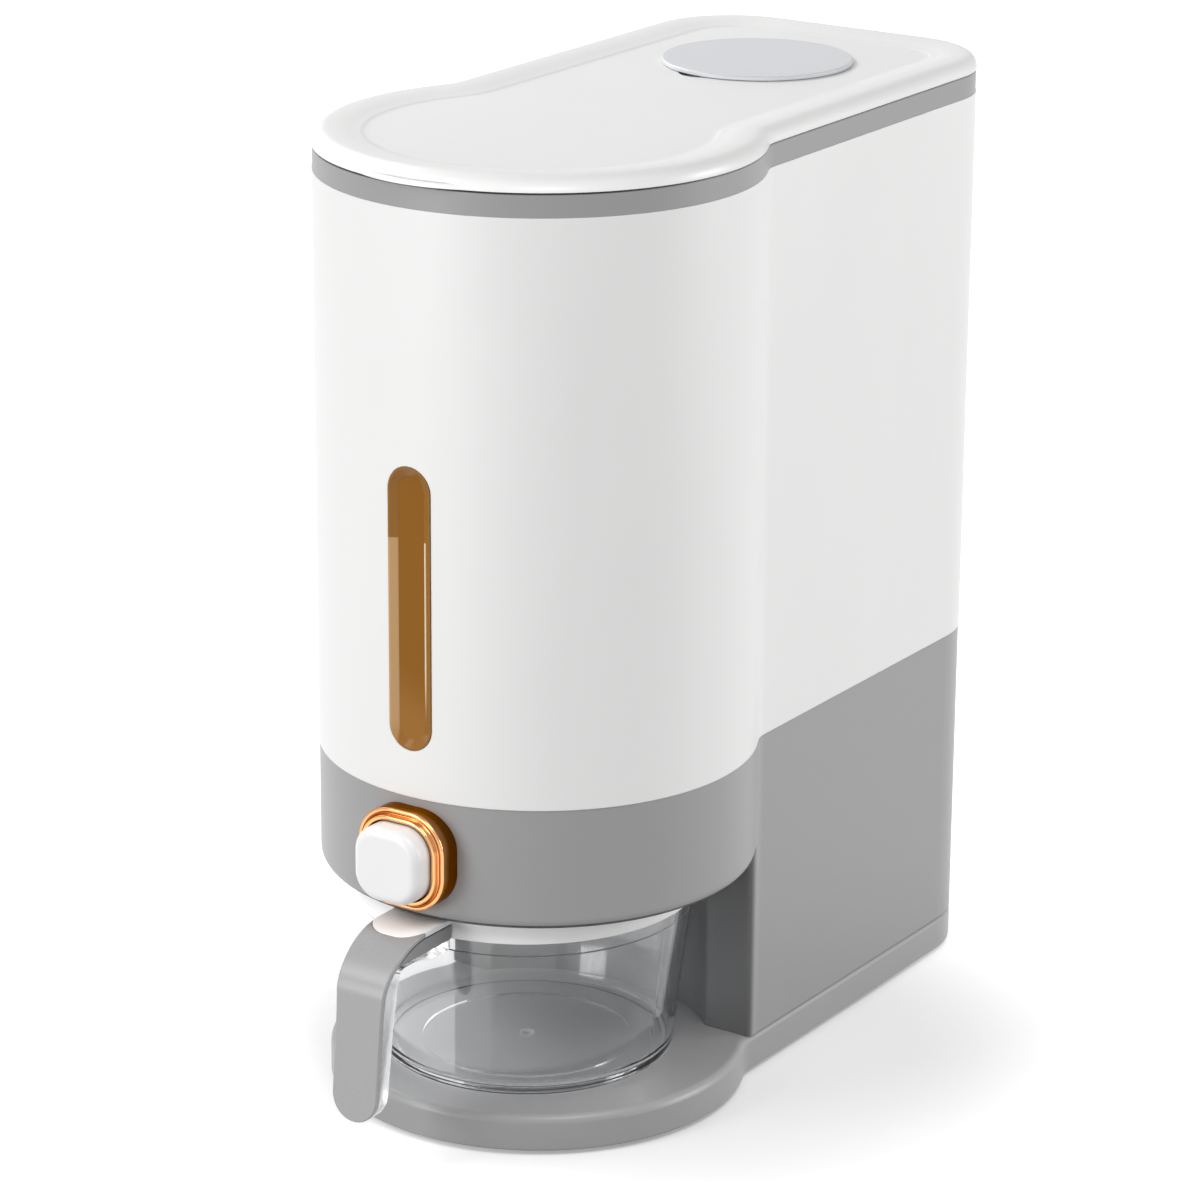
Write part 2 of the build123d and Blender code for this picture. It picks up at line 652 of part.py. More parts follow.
def make_chute_screws():
    """Screws that hold the outlet chute on its pillars."""
    screws = []
    for x, y in chute_posts():
        head = post(x, y, SMALL_HEAD_R, CHUTE_TOP, CHUTE_TOP + SMALL_HEAD_H)
        screws.append(head + post(x, y, SMALL_SCREW_R, HEAD_DECK + SLIP, CHUTE_TOP))
    return screws


def make_outlet_chute():
    """Slotted deck with a socket for the hopper's throat and rails under the shutter."""
    half = SLOT_W / 2
    ear = POST_X + CHUTE_EAR / 2
    chute = block(-ear, ear, CHUTE_FRONT, CHUTE_BACK, CHUTE_LOW, CHUTE_TOP)
    for side in (-1, 1):
        wall = sorted((side * (GATE_HALF + RUN), side * CHUTE_HALF))
        lip = sorted((side * (GATE_HALF - LIP_REACH), side * CHUTE_HALF))
        chute += block(*wall, CHUTE_FRONT, CHUTE_BACK, LIP_LOW, CHUTE_LOW)
        chute += block(*lip, CHUTE_FRONT, CHUTE_BACK, LIP_LOW, LIP_LOW + LIP_T)
    fit = THROAT_WALL + SLIP
    rim = fit + CHUTE_SOCKET_T
    socket_top = CHUTE_TOP + CHUTE_SOCKET_H
    chute += block(-half - rim, half + rim, SLOT_FRONT - rim, SLOT_BACK + rim, CHUTE_TOP, socket_top)
    chute -= block(-half - fit, half + fit, SLOT_FRONT - fit, SLOT_BACK + fit, CHUTE_TOP, socket_top)
    chute -= block(-half, half, SLOT_FRONT, SLOT_BACK, CHUTE_LOW, CHUTE_TOP)
    chute += rod_y(0, SPRING_Z, SPRING_PIN_R, SOCKET_FRONT - SPRING_PIN_L, SOCKET_FRONT)
    for x, y in chute_posts():
        chute -= post(x, y, SMALL_SCREW_R + SLIP, CHUTE_LOW, CHUTE_TOP)
    return chute


def make_gate_slide():
    """Shutter plate: its slot lines up with the outlet when the button is pressed."""
    half = SLOT_W / 2
    tab_half = GATE_TAB_W / 2
    gate = block(-GATE_HALF, GATE_HALF, GATE_FRONT, SLOT_BACK + GATE_BACK, GATE_LOW, GATE_TOP)
    gate -= block(-half, half, SLOT_FRONT - TRAVEL, SLOT_BACK - TRAVEL, GATE_LOW, GATE_TOP)
    gate += block(
        -tab_half, tab_half, GATE_FRONT, SPRING_LOW, GATE_TOP, BUTTON_Z + GATE_TAB_OVER
    )
    return gate + rod_y(0, SPRING_Z, SPRING_PIN_R, SPRING_LOW, SPRING_LOW + SPRING_PIN_L)


def make_button_stem():
    """Push rod: fills the cap, stops behind the bezel and bears on the shutter's tab."""
    stem = pad(STEM_FLANGE_W, CAP_CORNER, CAP_BACK + STEM_FLANGE_T, CAP_BACK)
    stem += rod_y(0, BUTTON_Z, STEM_R, CAP_FRONT + CAP_WALL + GLUE, CAP_BACK)
    return stem + rod_y(0, BUTTON_Z, STEM_R, CAP_BACK, GATE_FRONT)


def make_button_cap():
    """White cap, hollow behind, with softly rounded edges."""
    cap = pad(CAP_W, CAP_CORNER, CAP_BACK, CAP_FRONT)
    face = cap.faces().sort_by(Axis.Y)[0]
    cap = fillet(face.edges(), CAP_EDGE)
    return cap - pad(CAP_W - 2 * CAP_WALL, CAP_CORNER - CAP_WALL, CAP_BACK, CAP_FRONT + CAP_WALL)


def make_button_bezel():
    """Stepped surround that seats on the round head, with a sleeve through its wall."""
    outer = pad(BEZEL_W, BEZEL_R, BEZEL_BACK, BEZEL_FRONT)
    outer = fillet(outer.faces().sort_by(Axis.Y)[0].edges(), BEZEL_ROUND)
    step = pad(BEZEL_STEP_W, BEZEL_STEP_R, BEZEL_BACK, BEZEL_STEP_FRONT)
    step = fillet(step.faces().sort_by(Axis.Y)[0].edges(), BEZEL_ROUND)
    bezel = outer + step - post(0, 0, HEAD_R + GLUE, HEAD_LOW, SHELL_LOW)
    bezel += pad(BEZEL_SLEEVE_W, BEZEL_STEP_R - SLIP, BEZEL_BACK, BEZEL_FRONT)
    return bezel - pad(BEZEL_OPEN_W, BEZEL_OPEN_R, BEZEL_BACK, -FAR)


def make_return_spring():
    """Coil spring as one tube: each quarter turn of the helix is a pair of tangent arcs."""
    length = SPRING_LENGTH - SPRING_WIRE - 2 * GLUE
    start = SPRING_LOW + SPRING_WIRE / 2 + GLUE
    steps = 4 * SPRING_TURNS
    rise = length / steps
    slope = rise / (SPRING_R * math.pi / 2)
    points, tangents = [], []
    for step in range(steps + 1):
        turn = step * math.pi / 2
        ring = (SPRING_R * math.cos(turn), start + rise * step, SPRING_Z + SPRING_R * math.sin(turn))
        points.append(Vector(*ring))
        tangents.append(Vector(-math.sin(turn), slope, math.cos(turn)).normalized())
    edges = []
    for step in range(steps):
        edges += biarc(points[step], tangents[step], points[step + 1], tangents[step + 1])
    gap = 4 * rise - SPRING_WIRE
    print(f"return_spring: {SPRING_TURNS} turns, least gap between turns {gap:.2f} mm")
    circle = Plane(points[0], z_dir=tangents[0]) * Circle(SPRING_WIRE / 2)
    return sweep(circle, path=Wire(edges))


def biarc(start, start_way, end, end_way):
    """Two arcs that leave the start and reach the end along the given directions."""
    chord = end - start
    both = start_way + end_way
    spread = 2 * (1 - start_way.dot(end_way))
    lean = chord.dot(both)
    reach = (-lean + math.sqrt(lean**2 + spread * chord.dot(chord))) / spread
    first = start + start_way * reach
    last = end - end_way * reach
    middle = (first + last) * 0.5
    way = (last - first).normalized()
    return [Edge.make_tangent_arc(start, start_way, middle), Edge.make_tangent_arc(middle, way, end)]


def make_cup_body():
    """Clear tapered cup with a thick floor and a shallow ring under it."""
    neck = CUP_TOP - COLLAR_H + COLLAR_TOP
    inner_rim = CUP_RIM_R - CUP_WALL
    inner_foot = CUP_FOOT_R - CUP_WALL
    step_z = CUP_TOP - CUP_STEP_DOWN
    share = (step_z - CUP_LOW - CUP_FLOOR) / (CUP_TOP - CUP_LOW - CUP_FLOOR)
    step_r = inner_foot + (inner_rim - inner_foot) * share
    outer = turned(
        [(0, CUP_LOW), (CUP_FOOT_R, CUP_LOW), (CUP_RIM_R, neck), (CUP_RIM_R, CUP_TOP), (0, CUP_TOP)],
        [0, CUP_FOOT_ROUND, CUP_WALL, 0, 0],
    )
    floor = CUP_LOW + CUP_FLOOR
    inner = turned(
        [(0, floor), (inner_foot, floor), (step_r, step_z), (step_r - CUP_STEP, step_z + CUP_STEP),
         (inner_rim - CUP_STEP, CUP_TOP), (0, CUP_TOP)],
        [0, CUP_INNER_ROUND, 0, 0, 0, 0],
    )
    recess = turned([(0, CUP_LOW), (CUP_RECESS_R, CUP_LOW), (CUP_RECESS_R, CUP_LOW + CUP_RECESS),
                     (0, CUP_LOW + CUP_RECESS)], [0, 0, 0, 0])
    return Pos(0, CUP_Y, 0) * (outer - inner - recess)


def make_cup_collar():
    """White mouth ring over the cup's rim, with the thumb tab let into the handle's top."""
    groove_r = CUP_RIM_R + SLIP
    shelf = COLLAR_HIGH - COLLAR_TOP
    ring = turned(
        [
            (COLLAR_MOUTH_R, shelf),
            (groove_r, shelf),
            (groove_r, COLLAR_LOW),
            (COLLAR_R, COLLAR_LOW),
            (COLLAR_R, COLLAR_HIGH),
            (COLLAR_MOUTH_R, COLLAR_HIGH),
        ],
        [0, 0, 0, 0, COLLAR_WALL / 2, 0],
    )
    tab = handle_skin(COLLAR_WALL) & tab_prism(0.0)
    return Pos(0, CUP_Y, 0) * ring + tab


def tab_prism(grow):
    """Upright prism of the thumb tab's outline."""
    length = 2 * (TAB_TIP + grow)
    outline = RectangleRounded(2 * (TAB_HALF_W + grow), length, TAB_CORNER + grow)
    return prism(Pos(0, CUP_Y - COLLAR_R) * outline, BASE_TOP, HEAD_LOW)


def bow(depth, low):
    """Side line of the handle at a depth under its outer face, from the collar to the toe."""
    lean = math.radians(HANDLE_LEAN)
    leg_z = HANDLE_TOP - BOW_DROP
    leg_y = HANDLE_FRONT + math.tan(lean) * (leg_z - HANDLE_LOW)
    start = (leg_y + BOW_OUT, HANDLE_TOP - depth)
    end = (leg_y + depth * math.cos(lean), leg_z - depth * math.sin(lean))
    pull_in = (start[0] - BOW_PULL * (start[0] - end[0]), start[1])
    rise = BOW_PULL * (start[1] - end[1])
    pull_out = (end[0] + rise * math.sin(lean), end[1] + rise * math.cos(lean))
    toe = (end[0] - math.tan(lean) * (end[1] - low), low)
    curve = Bezier(start, pull_in, pull_out, end)
    return [curve, Line(end, toe)], start, toe


def handle_front(half_low, half_top, low):
    """Front view of the handle, run along Y: a flared strip with a round lower end."""
    bend = low + half_low
    flare = HANDLE_TOP - HANDLE_FLARE_H
    high = HANDLE_TOP + COVER_T
    swell = half_top - half_low
    flare_r = (HANDLE_FLARE_H**2 + swell**2) / (2 * swell)
    mid_z = flare + HANDLE_FLARE_H / 2
    mid = (half_low + flare_r - math.sqrt(flare_r**2 - (mid_z - flare) ** 2), mid_z)
    right = [
        Line((half_low, bend), (half_low, flare)),
        ThreePointArc((half_low, flare), mid, (half_top, HANDLE_TOP)),
        Line((half_top, HANDLE_TOP), (half_top, high)),
    ]
    left = [mirror(edge, about=Plane.YZ) for edge in right]
    toe = ThreePointArc((-half_low, bend), (0, low), (half_low, bend))
    strip = make_face([toe, *right, Line((half_top, high), (-half_top, high)), *left])
    return extrude(front_plane(CUP_Y, 0) * strip, amount=FAR)


def side_slab(edges):
    """Solid across the handle from the outline of its side view."""
    return Pos(-FAR / 2, 0, 0) * extrude(Plane.YZ * make_face(edges), amount=FAR)


def handle_skin(root_in):
    """Outer layer of the handle, from the collar to the end of the cover."""
    low = HANDLE_LOW + COVER_SHORT
    root = CUP_Y - COLLAR_R + root_in
    outer, outer_start, outer_toe = bow(0.0, low)
    inner, inner_start, inner_toe = bow(COVER_T, low)
    ends = [
        Line(outer_start, (root, outer_start[1])),
        Line((root, outer_start[1]), (root, inner_start[1])),
        Line((root, inner_start[1]), inner_start),
        Line(outer_toe, inner_toe),
    ]
    return side_slab([*outer, *inner, *ends]) & handle_front(HANDLE_HALF_LOW, HANDLE_HALF_TOP, low)


def make_handle_cover():
    """Grey strap with a notch round the thumb tab."""
    skin = handle_skin(0.0)
    outer, _, _ = bow(0.0, HANDLE_LOW + COVER_SHORT)
    lines = [Plane.YZ * line for line in outer]
    rim = [edge for edge in skin.edges() if side_on_lines(edge, lines)]
    return fillet(rim, COVER_EDGE) - tab_prism(SLIP)


def side_on_lines(edge, lines):
    """True for a side or toe edge of the handle whose side view lies on these lines."""
    spot = edge @ 0.5
    flat = Vertex(0, spot.Y, spot.Z)
    across = abs(spot.X) < GLUE and spot.Z > HANDLE_LOW + HANDLE_HALF_LOW
    return not across and min(line.distance_to(flat) for line in lines) < GLUE


def handle_inside(depth):
    """Everything behind a skin of this depth, down to the handle's inner line."""
    root = CUP_Y - COLLAR_R
    arm_z = HANDLE_TOP - CORE_ARM_H
    toe_y = HANDLE_FRONT + CORE_TOE
    bulge = root - CORE_BULGE_L
    inner = FilletPolyline(
        (root, HANDLE_TOP - depth),
        (root, arm_z - CORE_BULGE),
        (bulge, arm_z - CORE_BULGE),
        (bulge - CORE_BULGE_RUN, arm_z),
        (HANDLE_FRONT + CORE_KNEE, arm_z),
        (toe_y, HANDLE_LOW),
        radius=[CORE_HEEL, CORE_BEND, CORE_BEND, CORE_BEND],
    )
    outer, start, toe = bow(depth, HANDLE_LOW)
    ends = [Line(start, (root, HANDLE_TOP - depth)), Line(toe, (toe_y, HANDLE_LOW))]
    body = side_slab([*outer, *ends, *inner.edges()])
    body &= handle_front(HANDLE_HALF_LOW - CORE_SET_IN, HANDLE_HALF_TOP - CORE_SET_IN, HANDLE_LOW)
    return body - post(0, CUP_Y, COLLAR_R + GLUE, BASE_TOP, HEAD_LOW)


def liner_space(low):
    """Everything above the liner's underside."""
    return block(-FAR, FAR, -FAR, FAR, low, HEAD_LOW)


def make_handle_core():
    """Clear arm behind the cover and under the liner."""
    return handle_inside(COVER_T + GLUE) - liner_space(HANDLE_TOP - LINER_H - GLUE)


def make_handle_liner():
    """Grey wedge under the cover's bend."""
    return handle_inside(COVER_T + LINER_GAP) & liner_space(HANDLE_TOP - LINER_H)


def save(name, shape):
    """Move a piece to the shared frame and write its file."""
    solids = shape if isinstance(shape, list) else shape.solids()
    moved = [Pos(0, SHIFT_Y, 0) * solid for solid in solids]
    export_step(moved[0] if len(moved) == 1 else Compound(children=moved), f"parts/{name}.step")


def main():
    """Build every piece and write one file for each."""
    os.makedirs("parts", exist_ok=True)
    makers = {
        "outer_shell": make_outer_shell,
        "window_lens": make_window_lens,
        "rim_ring": make_rim_ring,
        "lid_gasket": make_lid_gasket,
        "lid": make_lid,
        "hinge_pin": make_hinge_pin,
        "desiccant_basket": make_desiccant_basket,
        "desiccant_cap": make_desiccant_cap,
        "lower_housing": make_lower_housing,
        "hopper": make_hopper,
        "base_plate": make_base_plate,
        "base_screws": make_base_screws,
        "outlet_chute": make_outlet_chute,
        "chute_screws": make_chute_screws,
        "gate_slide": make_gate_slide,
        "button_stem": make_button_stem,
        "button_cap": make_button_cap,
        "button_bezel": make_button_bezel,
        "return_spring": make_return_spring,
        "cup_body": make_cup_body,
        "cup_collar": make_cup_collar,
        "handle_core": make_handle_core,
        "handle_liner": make_handle_liner,
        "handle_cover": make_handle_cover,
    }
    for name, maker in makers.items():
        save(name, maker())
    for name, (x, y) in foot_places().items():
        save(name, make_foot(x, y))


main()
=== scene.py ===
"""Looks of a push-button rice dispenser, laid out as an add-on and run as a script."""

import json
import math

import bmesh
import bpy
from bpy.props import FloatProperty, FloatVectorProperty, IntProperty, PointerProperty
from mathutils import Matrix, Vector
from mathutils.geometry import interpolate_bezier


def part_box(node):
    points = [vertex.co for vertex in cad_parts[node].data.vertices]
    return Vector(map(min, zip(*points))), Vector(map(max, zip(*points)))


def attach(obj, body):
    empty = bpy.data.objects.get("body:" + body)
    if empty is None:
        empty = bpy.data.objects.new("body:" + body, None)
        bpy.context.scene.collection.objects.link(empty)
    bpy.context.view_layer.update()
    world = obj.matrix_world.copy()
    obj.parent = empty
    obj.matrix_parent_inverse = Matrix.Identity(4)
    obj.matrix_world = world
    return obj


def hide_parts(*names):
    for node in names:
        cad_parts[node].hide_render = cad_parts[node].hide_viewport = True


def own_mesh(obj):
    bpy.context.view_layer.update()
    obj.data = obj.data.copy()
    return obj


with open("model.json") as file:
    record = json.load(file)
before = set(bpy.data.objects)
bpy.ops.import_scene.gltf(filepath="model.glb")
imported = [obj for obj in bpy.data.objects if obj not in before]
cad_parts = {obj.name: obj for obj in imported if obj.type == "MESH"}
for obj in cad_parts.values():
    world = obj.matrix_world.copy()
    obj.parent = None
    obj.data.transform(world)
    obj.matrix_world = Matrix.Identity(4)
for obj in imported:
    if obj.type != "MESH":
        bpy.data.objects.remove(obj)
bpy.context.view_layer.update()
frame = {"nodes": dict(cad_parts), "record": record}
NODES = frame["nodes"]
MM = 0.001

# Studio: how far off the lamps stand and the height that they face
LAMP_AWAY = 2.4
LAMP_AIM = 0.25

# Each lamp's side in metres, then its turn and height in degrees
LAMPS = {
    "key": (0.9, -20.0, 6.0),
    "side": (0.9, 122.0, 9.0),
    "back": (0.9, -120.0, 30.0),
    "high": (0.9, -30.0, 35.0),
    "top": (1.1, 60.0, 60.0),
    "lid": (0.8, -106.0, 36.0),
    "rim": (0.8, 38.0, 12.0),
    "collar": (0.6, 10.0, 38.0),
}

# Camera's sensor in mm, half the floor's width, and the radius of the even middle of the shadow painted on
# the floor
SENSOR = 36.0
FLOOR_HALF = 8.0
SHADOW_CORE = 90 * MM

# Lid: its lower edge below its top, the height of the crease round its panel, the depths where that lies,
# and how far a face has to look up to be part of the panel
LID_EDGE = 6.7 * MM
LID_CREASE = 0.5 * MM
CREASE_LOW = 2.38 * MM
CREASE_HIGH = 2.05 * MM
CREASE_FLAT = (0.85, 0.95)

# Painted shade in the gap under the lid: its depths below the lid's edge, where it fades out towards the
# rear, and its darkness
SEAM_LOW = 1.1 * MM
SEAM_HIGH = 0.7 * MM
SEAM_FRONT = -130 * MM
SEAM_REAR = -60 * MM
SEAM_DARK = 0.85

# Cup bay, whose darkness is painted shade: gap over the collar, front of the column, gap round the collar,
# and how the painted shade fades behind these; then the dark gap under the head, painted shade, from below
# its edge to above it, and the darkness of gap and bay
COLLAR_GAP = 1.5 * MM
BAY_BACK = -17.35 * MM
BAY_GAP = 5.0 * MM
COLUMN_FADE = (0.5 * MM, 2.5 * MM)
NICHE_FADE = (0.3 * MM, 0.8 * MM)
HEAD_UNDER = (-0.4 * MM, -0.1 * MM)
HEAD_EDGE = (1.5 * MM, 2.3 * MM)
GAP_DARK = 0.9
BAY_DARK = 0.66

# Cup's floor, and how finely the spring is stepped along and round its wire
CUP_FLOOR = 3.2 * MM
SPRING_STEPS = 32
SPRING_SIDES = 14

# Sprue mark: lift off the cup's floor, then each step's share of the radius and its rise in mm
SPRUE_LIFT = 0.02 * MM
SPRUE_SIDES = 48
SPRUE_STEPS = ((0.12, 0.3), (0.2, 0.15), (0.2, -0.05), (0.22, -0.3))

# Window: depth where the bevel ends, where its painted reflection ends at the top and fades at the foot,
# the side where that reflection ends, the sides and the foot of the bright line, a painted highlight, and
# the foot of the pane, which is paler
PANE_BEVEL = (1.75 * MM, 1.85 * MM)
PANE_UPPER = (34.4 * MM, 33.8 * MM)
PANE_FOOT = (6 * MM, 16 * MM)
PANE_LEFT = (-7.2 * MM, -5.6 * MM)
LINE_LEFT = (6.1 * MM, 6.6 * MM)
LINE_RIGHT = (7.2 * MM, 8.2 * MM)
LINE_FOOT = (14 * MM, 40 * MM)
PANE_PALER = (40 * MM, 12 * MM)

# Sizes of the finishes' slow and fine marks
FLOW_SIZE = 70 * MM
RIPPLE_SIZE = 14 * MM
PANE_RIPPLE = 11 * MM
HAZE_SIZE = 3 * MM
LINE_SIZE = 0.5 * MM
TARNISH_SIZE = 9 * MM
FLOOR_CLOUD = 0.3

# Mouldings: how far flow marks change the tone, how edges wear and take a painted highlight and to what
# tone, and the tone of the painted shade in gaps
FLOW_TONE = 0.03
WEAR_SHEEN_GAIN = 4.0
WEAR_SHEEN_SHARE = 0.35
WEAR_SHEEN_TONE = 1.12
PAINTED_SHADE_TONE = 0.04

# Soft parts: rounding of the seal, then the grain and the rounding of the feet
SEAL_EDGE = 0.2 * MM
FOOT_GRAIN = 0.8 * MM
FOOT_EDGE = 0.4 * MM

# New pieces: how near corners are joined, and how finely the bezel's corners and outer edge are stepped
MERGE = 0.002 * MM
CORNER_STEPS = 24
EDGE_STEPS = 6

# How deep the plating's painted shade and dark reflections are on the bezel's outer edge, at the root of
# that edge, on its wall and sleeve
EDGE_TONE = 0.1
ROOT_TONE = 0.4
WALL_TONE = 0.6
SLEEVE_TONE = 1.0

# Bezel's steps in mm: in from the outside, out towards the front, and how deep the plating's painted shade
# and dark reflections are
BEZEL_LANDS = (
    (1.45, 0.0, 0.05),
    (1.6, -0.12, 0.6),
    (1.8, -0.3, 1.0),
    (2.1, -0.3, 0.8),
    (2.3, -0.1, 0.1),
    (2.45, 0.3, 0.0),
    (2.6, 0.9, 0.5),
    (2.75, 1.5, 0.6),
    (2.9, 1.85, 0.1),
    (3.15, 2.1, 0.0),
    (3.5, 2.2, 0.0),
    (4.3, 2.2, 0.0),
    (4.55, 2.1, 0.3),
    (4.7, 1.9, 0.8),
    (4.75, 1.6, 1.0),
)

# Clear arm in mm, as depth and height: toe and bow on its outside, then toe, leg, knee and bulge inside
ARM_OUTER = (
    (-198.746, 26.0),
    (-193.375, 80.771),
    (-192.444, 90.268),
    (-178.991, 100.65),
    (-165.714, 100.65),
)
ARM_INNER = (
    (-192.743, 26.0),
    (-184.16, 85.2),
    (-183.25, 91.5),
    (-177.0, 91.5),
    (-175.0, 91.5),
    (-166.0, 91.5),
    (-166.0, 88.8),
    (-157.0, 88.8),
)

# Height where the arm starts to flare, and the height over which it does so, in mm
ARM_FLARE = (60.0, 43.0)

# Points on the arm's curves, its rungs along the leg and along the top, and the steps of its rounded edges
BOW_POINTS = 60
KNEE_POINTS = 16
BULGE_POINTS = 12
LEG_RUNGS = 56
TOP_RUNGS = 20
ROUND_STEPS = 3

bl_info = {
    "name": "Rice dispenser looks",
    "version": (1, 0, 0),
    "blender": (4, 5, 0),
    "location": "3D View > Sidebar > Dispenser",
    "description": "Finishes, fine pieces and a studio for a push-button rice dispenser",
    "category": "Object",
}


class StageSettings(bpy.types.PropertyGroup):
    """Camera, floor and lamps."""

    azimuth: FloatProperty(
        name="Azimuth", description="Turn of the camera round the object",
        default=math.radians(33.427), subtype="ANGLE",
    )
    elevation: FloatProperty(
        name="Elevation", description="Camera's tilt towards the floor",
        default=math.radians(18.382), subtype="ANGLE",
    )
    roll: FloatProperty(
        name="Roll", description="Camera's turn about its own axis",
        default=math.radians(0.378), subtype="ANGLE",
    )
    lens: FloatProperty(
        name="Lens", description="Focal length on a 36 mm sensor", default=137.41, unit="CAMERA"
    )
    place: FloatVectorProperty(
        name="Camera place", description="Camera's place in the frame",
        default=(1.0480, -1.60385, 0.8377), subtype="XYZ",
    )
    sky: FloatProperty(
        name="Sky", description="Level of the even light all round", default=0.30, min=0.0
    )
    key: FloatProperty(
        name="Key lamp", description="Power of the lamp at the front left", default=19.5, unit="POWER"
    )
    high: FloatProperty(
        name="High lamp", description="Power of the lamp above the key", default=15.0, unit="POWER"
    )
    side: FloatProperty(
        name="Side lamp", description="Power of the lamp at the right", default=23.5, unit="POWER"
    )
    top: FloatProperty(
        name="Top lamp", description="Power of the lamp overhead", default=20.5, unit="POWER"
    )
    lid: FloatProperty(
        name="Lid lamp", description="Power of the lamp that rakes the lid", default=33.0, unit="POWER"
    )
    rim: FloatProperty(
        name="Rim lamp", description="Power of the lamp on the lid's front edge",
        default=18.0, unit="POWER",
    )
    collar: FloatProperty(
        name="Collar lamp", description="Power of the lamp on the cup collar", default=15.0, unit="POWER"
    )
    back: FloatProperty(
        name="Back lamp", description="Power of the lamp behind at the left", default=9.5, unit="POWER"
    )
    floor_tone: FloatProperty(
        name="Floor tone", description="How much light the floor gives back",
        default=0.62, min=0.0, max=1.0,
    )
    floor_seen: FloatProperty(
        name="Floor seen", description="Floor's tone as the camera sees it",
        default=0.85, min=0.0, max=1.0,
    )
    floor_glow: FloatProperty(
        name="Floor white", description="White that the floor keeps in shade",
        default=0.29, min=0.0, max=1.0,
    )
    shadow_place: FloatVectorProperty(
        name="Shadow place", description="Middle of the soft shadow on the floor",
        default=(0.05, -0.01, 0.0), subtype="XYZ",
    )
    shadow_reach: FloatProperty(
        name="Shadow reach", description="Where the floor is plain white again",
        default=290.0 * MM, unit="LENGTH",
    )


class FinishSettings(bpy.types.PropertyGroup):
    """Colours and textures of the mouldings and fittings."""

    white: FloatVectorProperty(
        name="White", description="Shell and lid moulding",
        default=(0.86, 0.86, 0.855), subtype="COLOR", min=0.0, max=1.0,
    )
    button_white: FloatVectorProperty(
        name="Button white", description="Button cap",
        default=(0.88, 0.88, 0.88), subtype="COLOR", min=0.0, max=1.0,
    )
    grey: FloatVectorProperty(
        name="Grey", description="Head, column, base and strap",
        default=(0.32, 0.32, 0.325), subtype="COLOR", min=0.0, max=1.0,
    )
    dark_grey: FloatVectorProperty(
        name="Dark grey", description="Liner under the strap",
        default=(0.26, 0.26, 0.26), subtype="COLOR", min=0.0, max=1.0,
    )
    natural: FloatVectorProperty(
        name="Natural", description="Inner mouldings",
        default=(0.80, 0.80, 0.78), subtype="COLOR", min=0.0, max=1.0,
    )
    amber: FloatVectorProperty(
        name="Amber", description="Window pane",
        default=(0.275, 0.107, 0.0045), subtype="COLOR", min=0.0, max=1.0,
    )
    amber_pale: FloatVectorProperty(
        name="Pale amber", description="Foot of the window pane",
        default=(0.36, 0.16, 0.03), subtype="COLOR", min=0.0, max=1.0,
    )
    amber_edge: FloatVectorProperty(
        name="Amber edge", description="Bevel round the pane",
        default=(0.31, 0.14, 0.028), subtype="COLOR", min=0.0, max=1.0,
    )
    amber_glint: FloatVectorProperty(
        name="Amber glint", description="Lit bevel",
        default=(0.57, 0.35, 0.165), subtype="COLOR", min=0.0, max=1.0,
    )
    amber_highlight: FloatVectorProperty(
        name="Amber line", description="Bright line along the pane",
        default=(0.88, 0.72, 0.52), subtype="COLOR", min=0.0, max=1.0,
    )
    cup_clear: FloatVectorProperty(
        name="Clear", description="Clear plastic of the cup",
        default=(0.97, 0.975, 0.98), subtype="COLOR", min=0.0, max=1.0,
    )
    # Painted reflection: the arm's clear plastic is tinted grey, standing for the darker surroundings that
    # it reflects
    arm_dim_tint: FloatVectorProperty(
        name="Dimmed", description="Clear plastic of the handle's arm",
        default=(0.60, 0.605, 0.615), subtype="COLOR", min=0.0, max=1.0,
    )
    mark_haze: FloatVectorProperty(
        name="Haze", description="Hazy plastic of the sprue mark",
        default=(0.93, 0.93, 0.94), subtype="COLOR", min=0.0, max=1.0,
    )
    plate: FloatVectorProperty(
        name="Plating", description="Bright plating of the bezel",
        default=(0.82, 0.43, 0.19), subtype="COLOR", min=0.0, max=1.0,
    )
    plate_shade: FloatVectorProperty(
        name="Deep plating", description="Plating in the bezel's groove",
        default=(0.23, 0.056, 0.008), subtype="COLOR", min=0.0, max=1.0,
    )
    frost: FloatVectorProperty(
        name="Frost", description="Cap of the drying well",
        default=(0.66, 0.67, 0.695), subtype="COLOR", min=0.0, max=1.0,
    )
    seal: FloatVectorProperty(
        name="Seal", description="Soft ring under the lid",
        default=(0.45, 0.45, 0.45), subtype="COLOR", min=0.0, max=1.0,
    )
    rubber: FloatVectorProperty(
        name="Rubber", description="Feet", default=(0.05, 0.05, 0.05), subtype="COLOR", min=0.0, max=1.0
    )
    steel: FloatVectorProperty(
        name="Steel", description="Pin, screws and spring",
        default=(0.56, 0.56, 0.57), subtype="COLOR", min=0.0, max=1.0,
    )
    grain: FloatProperty(
        name="Grain", description="Grain of the moulds' eroded texture", default=0.45 * MM, unit="LENGTH"
    )
    edge: FloatProperty(
        name="Edge", description="Rounding of the mouldings' edges", default=0.5 * MM, unit="LENGTH"
    )


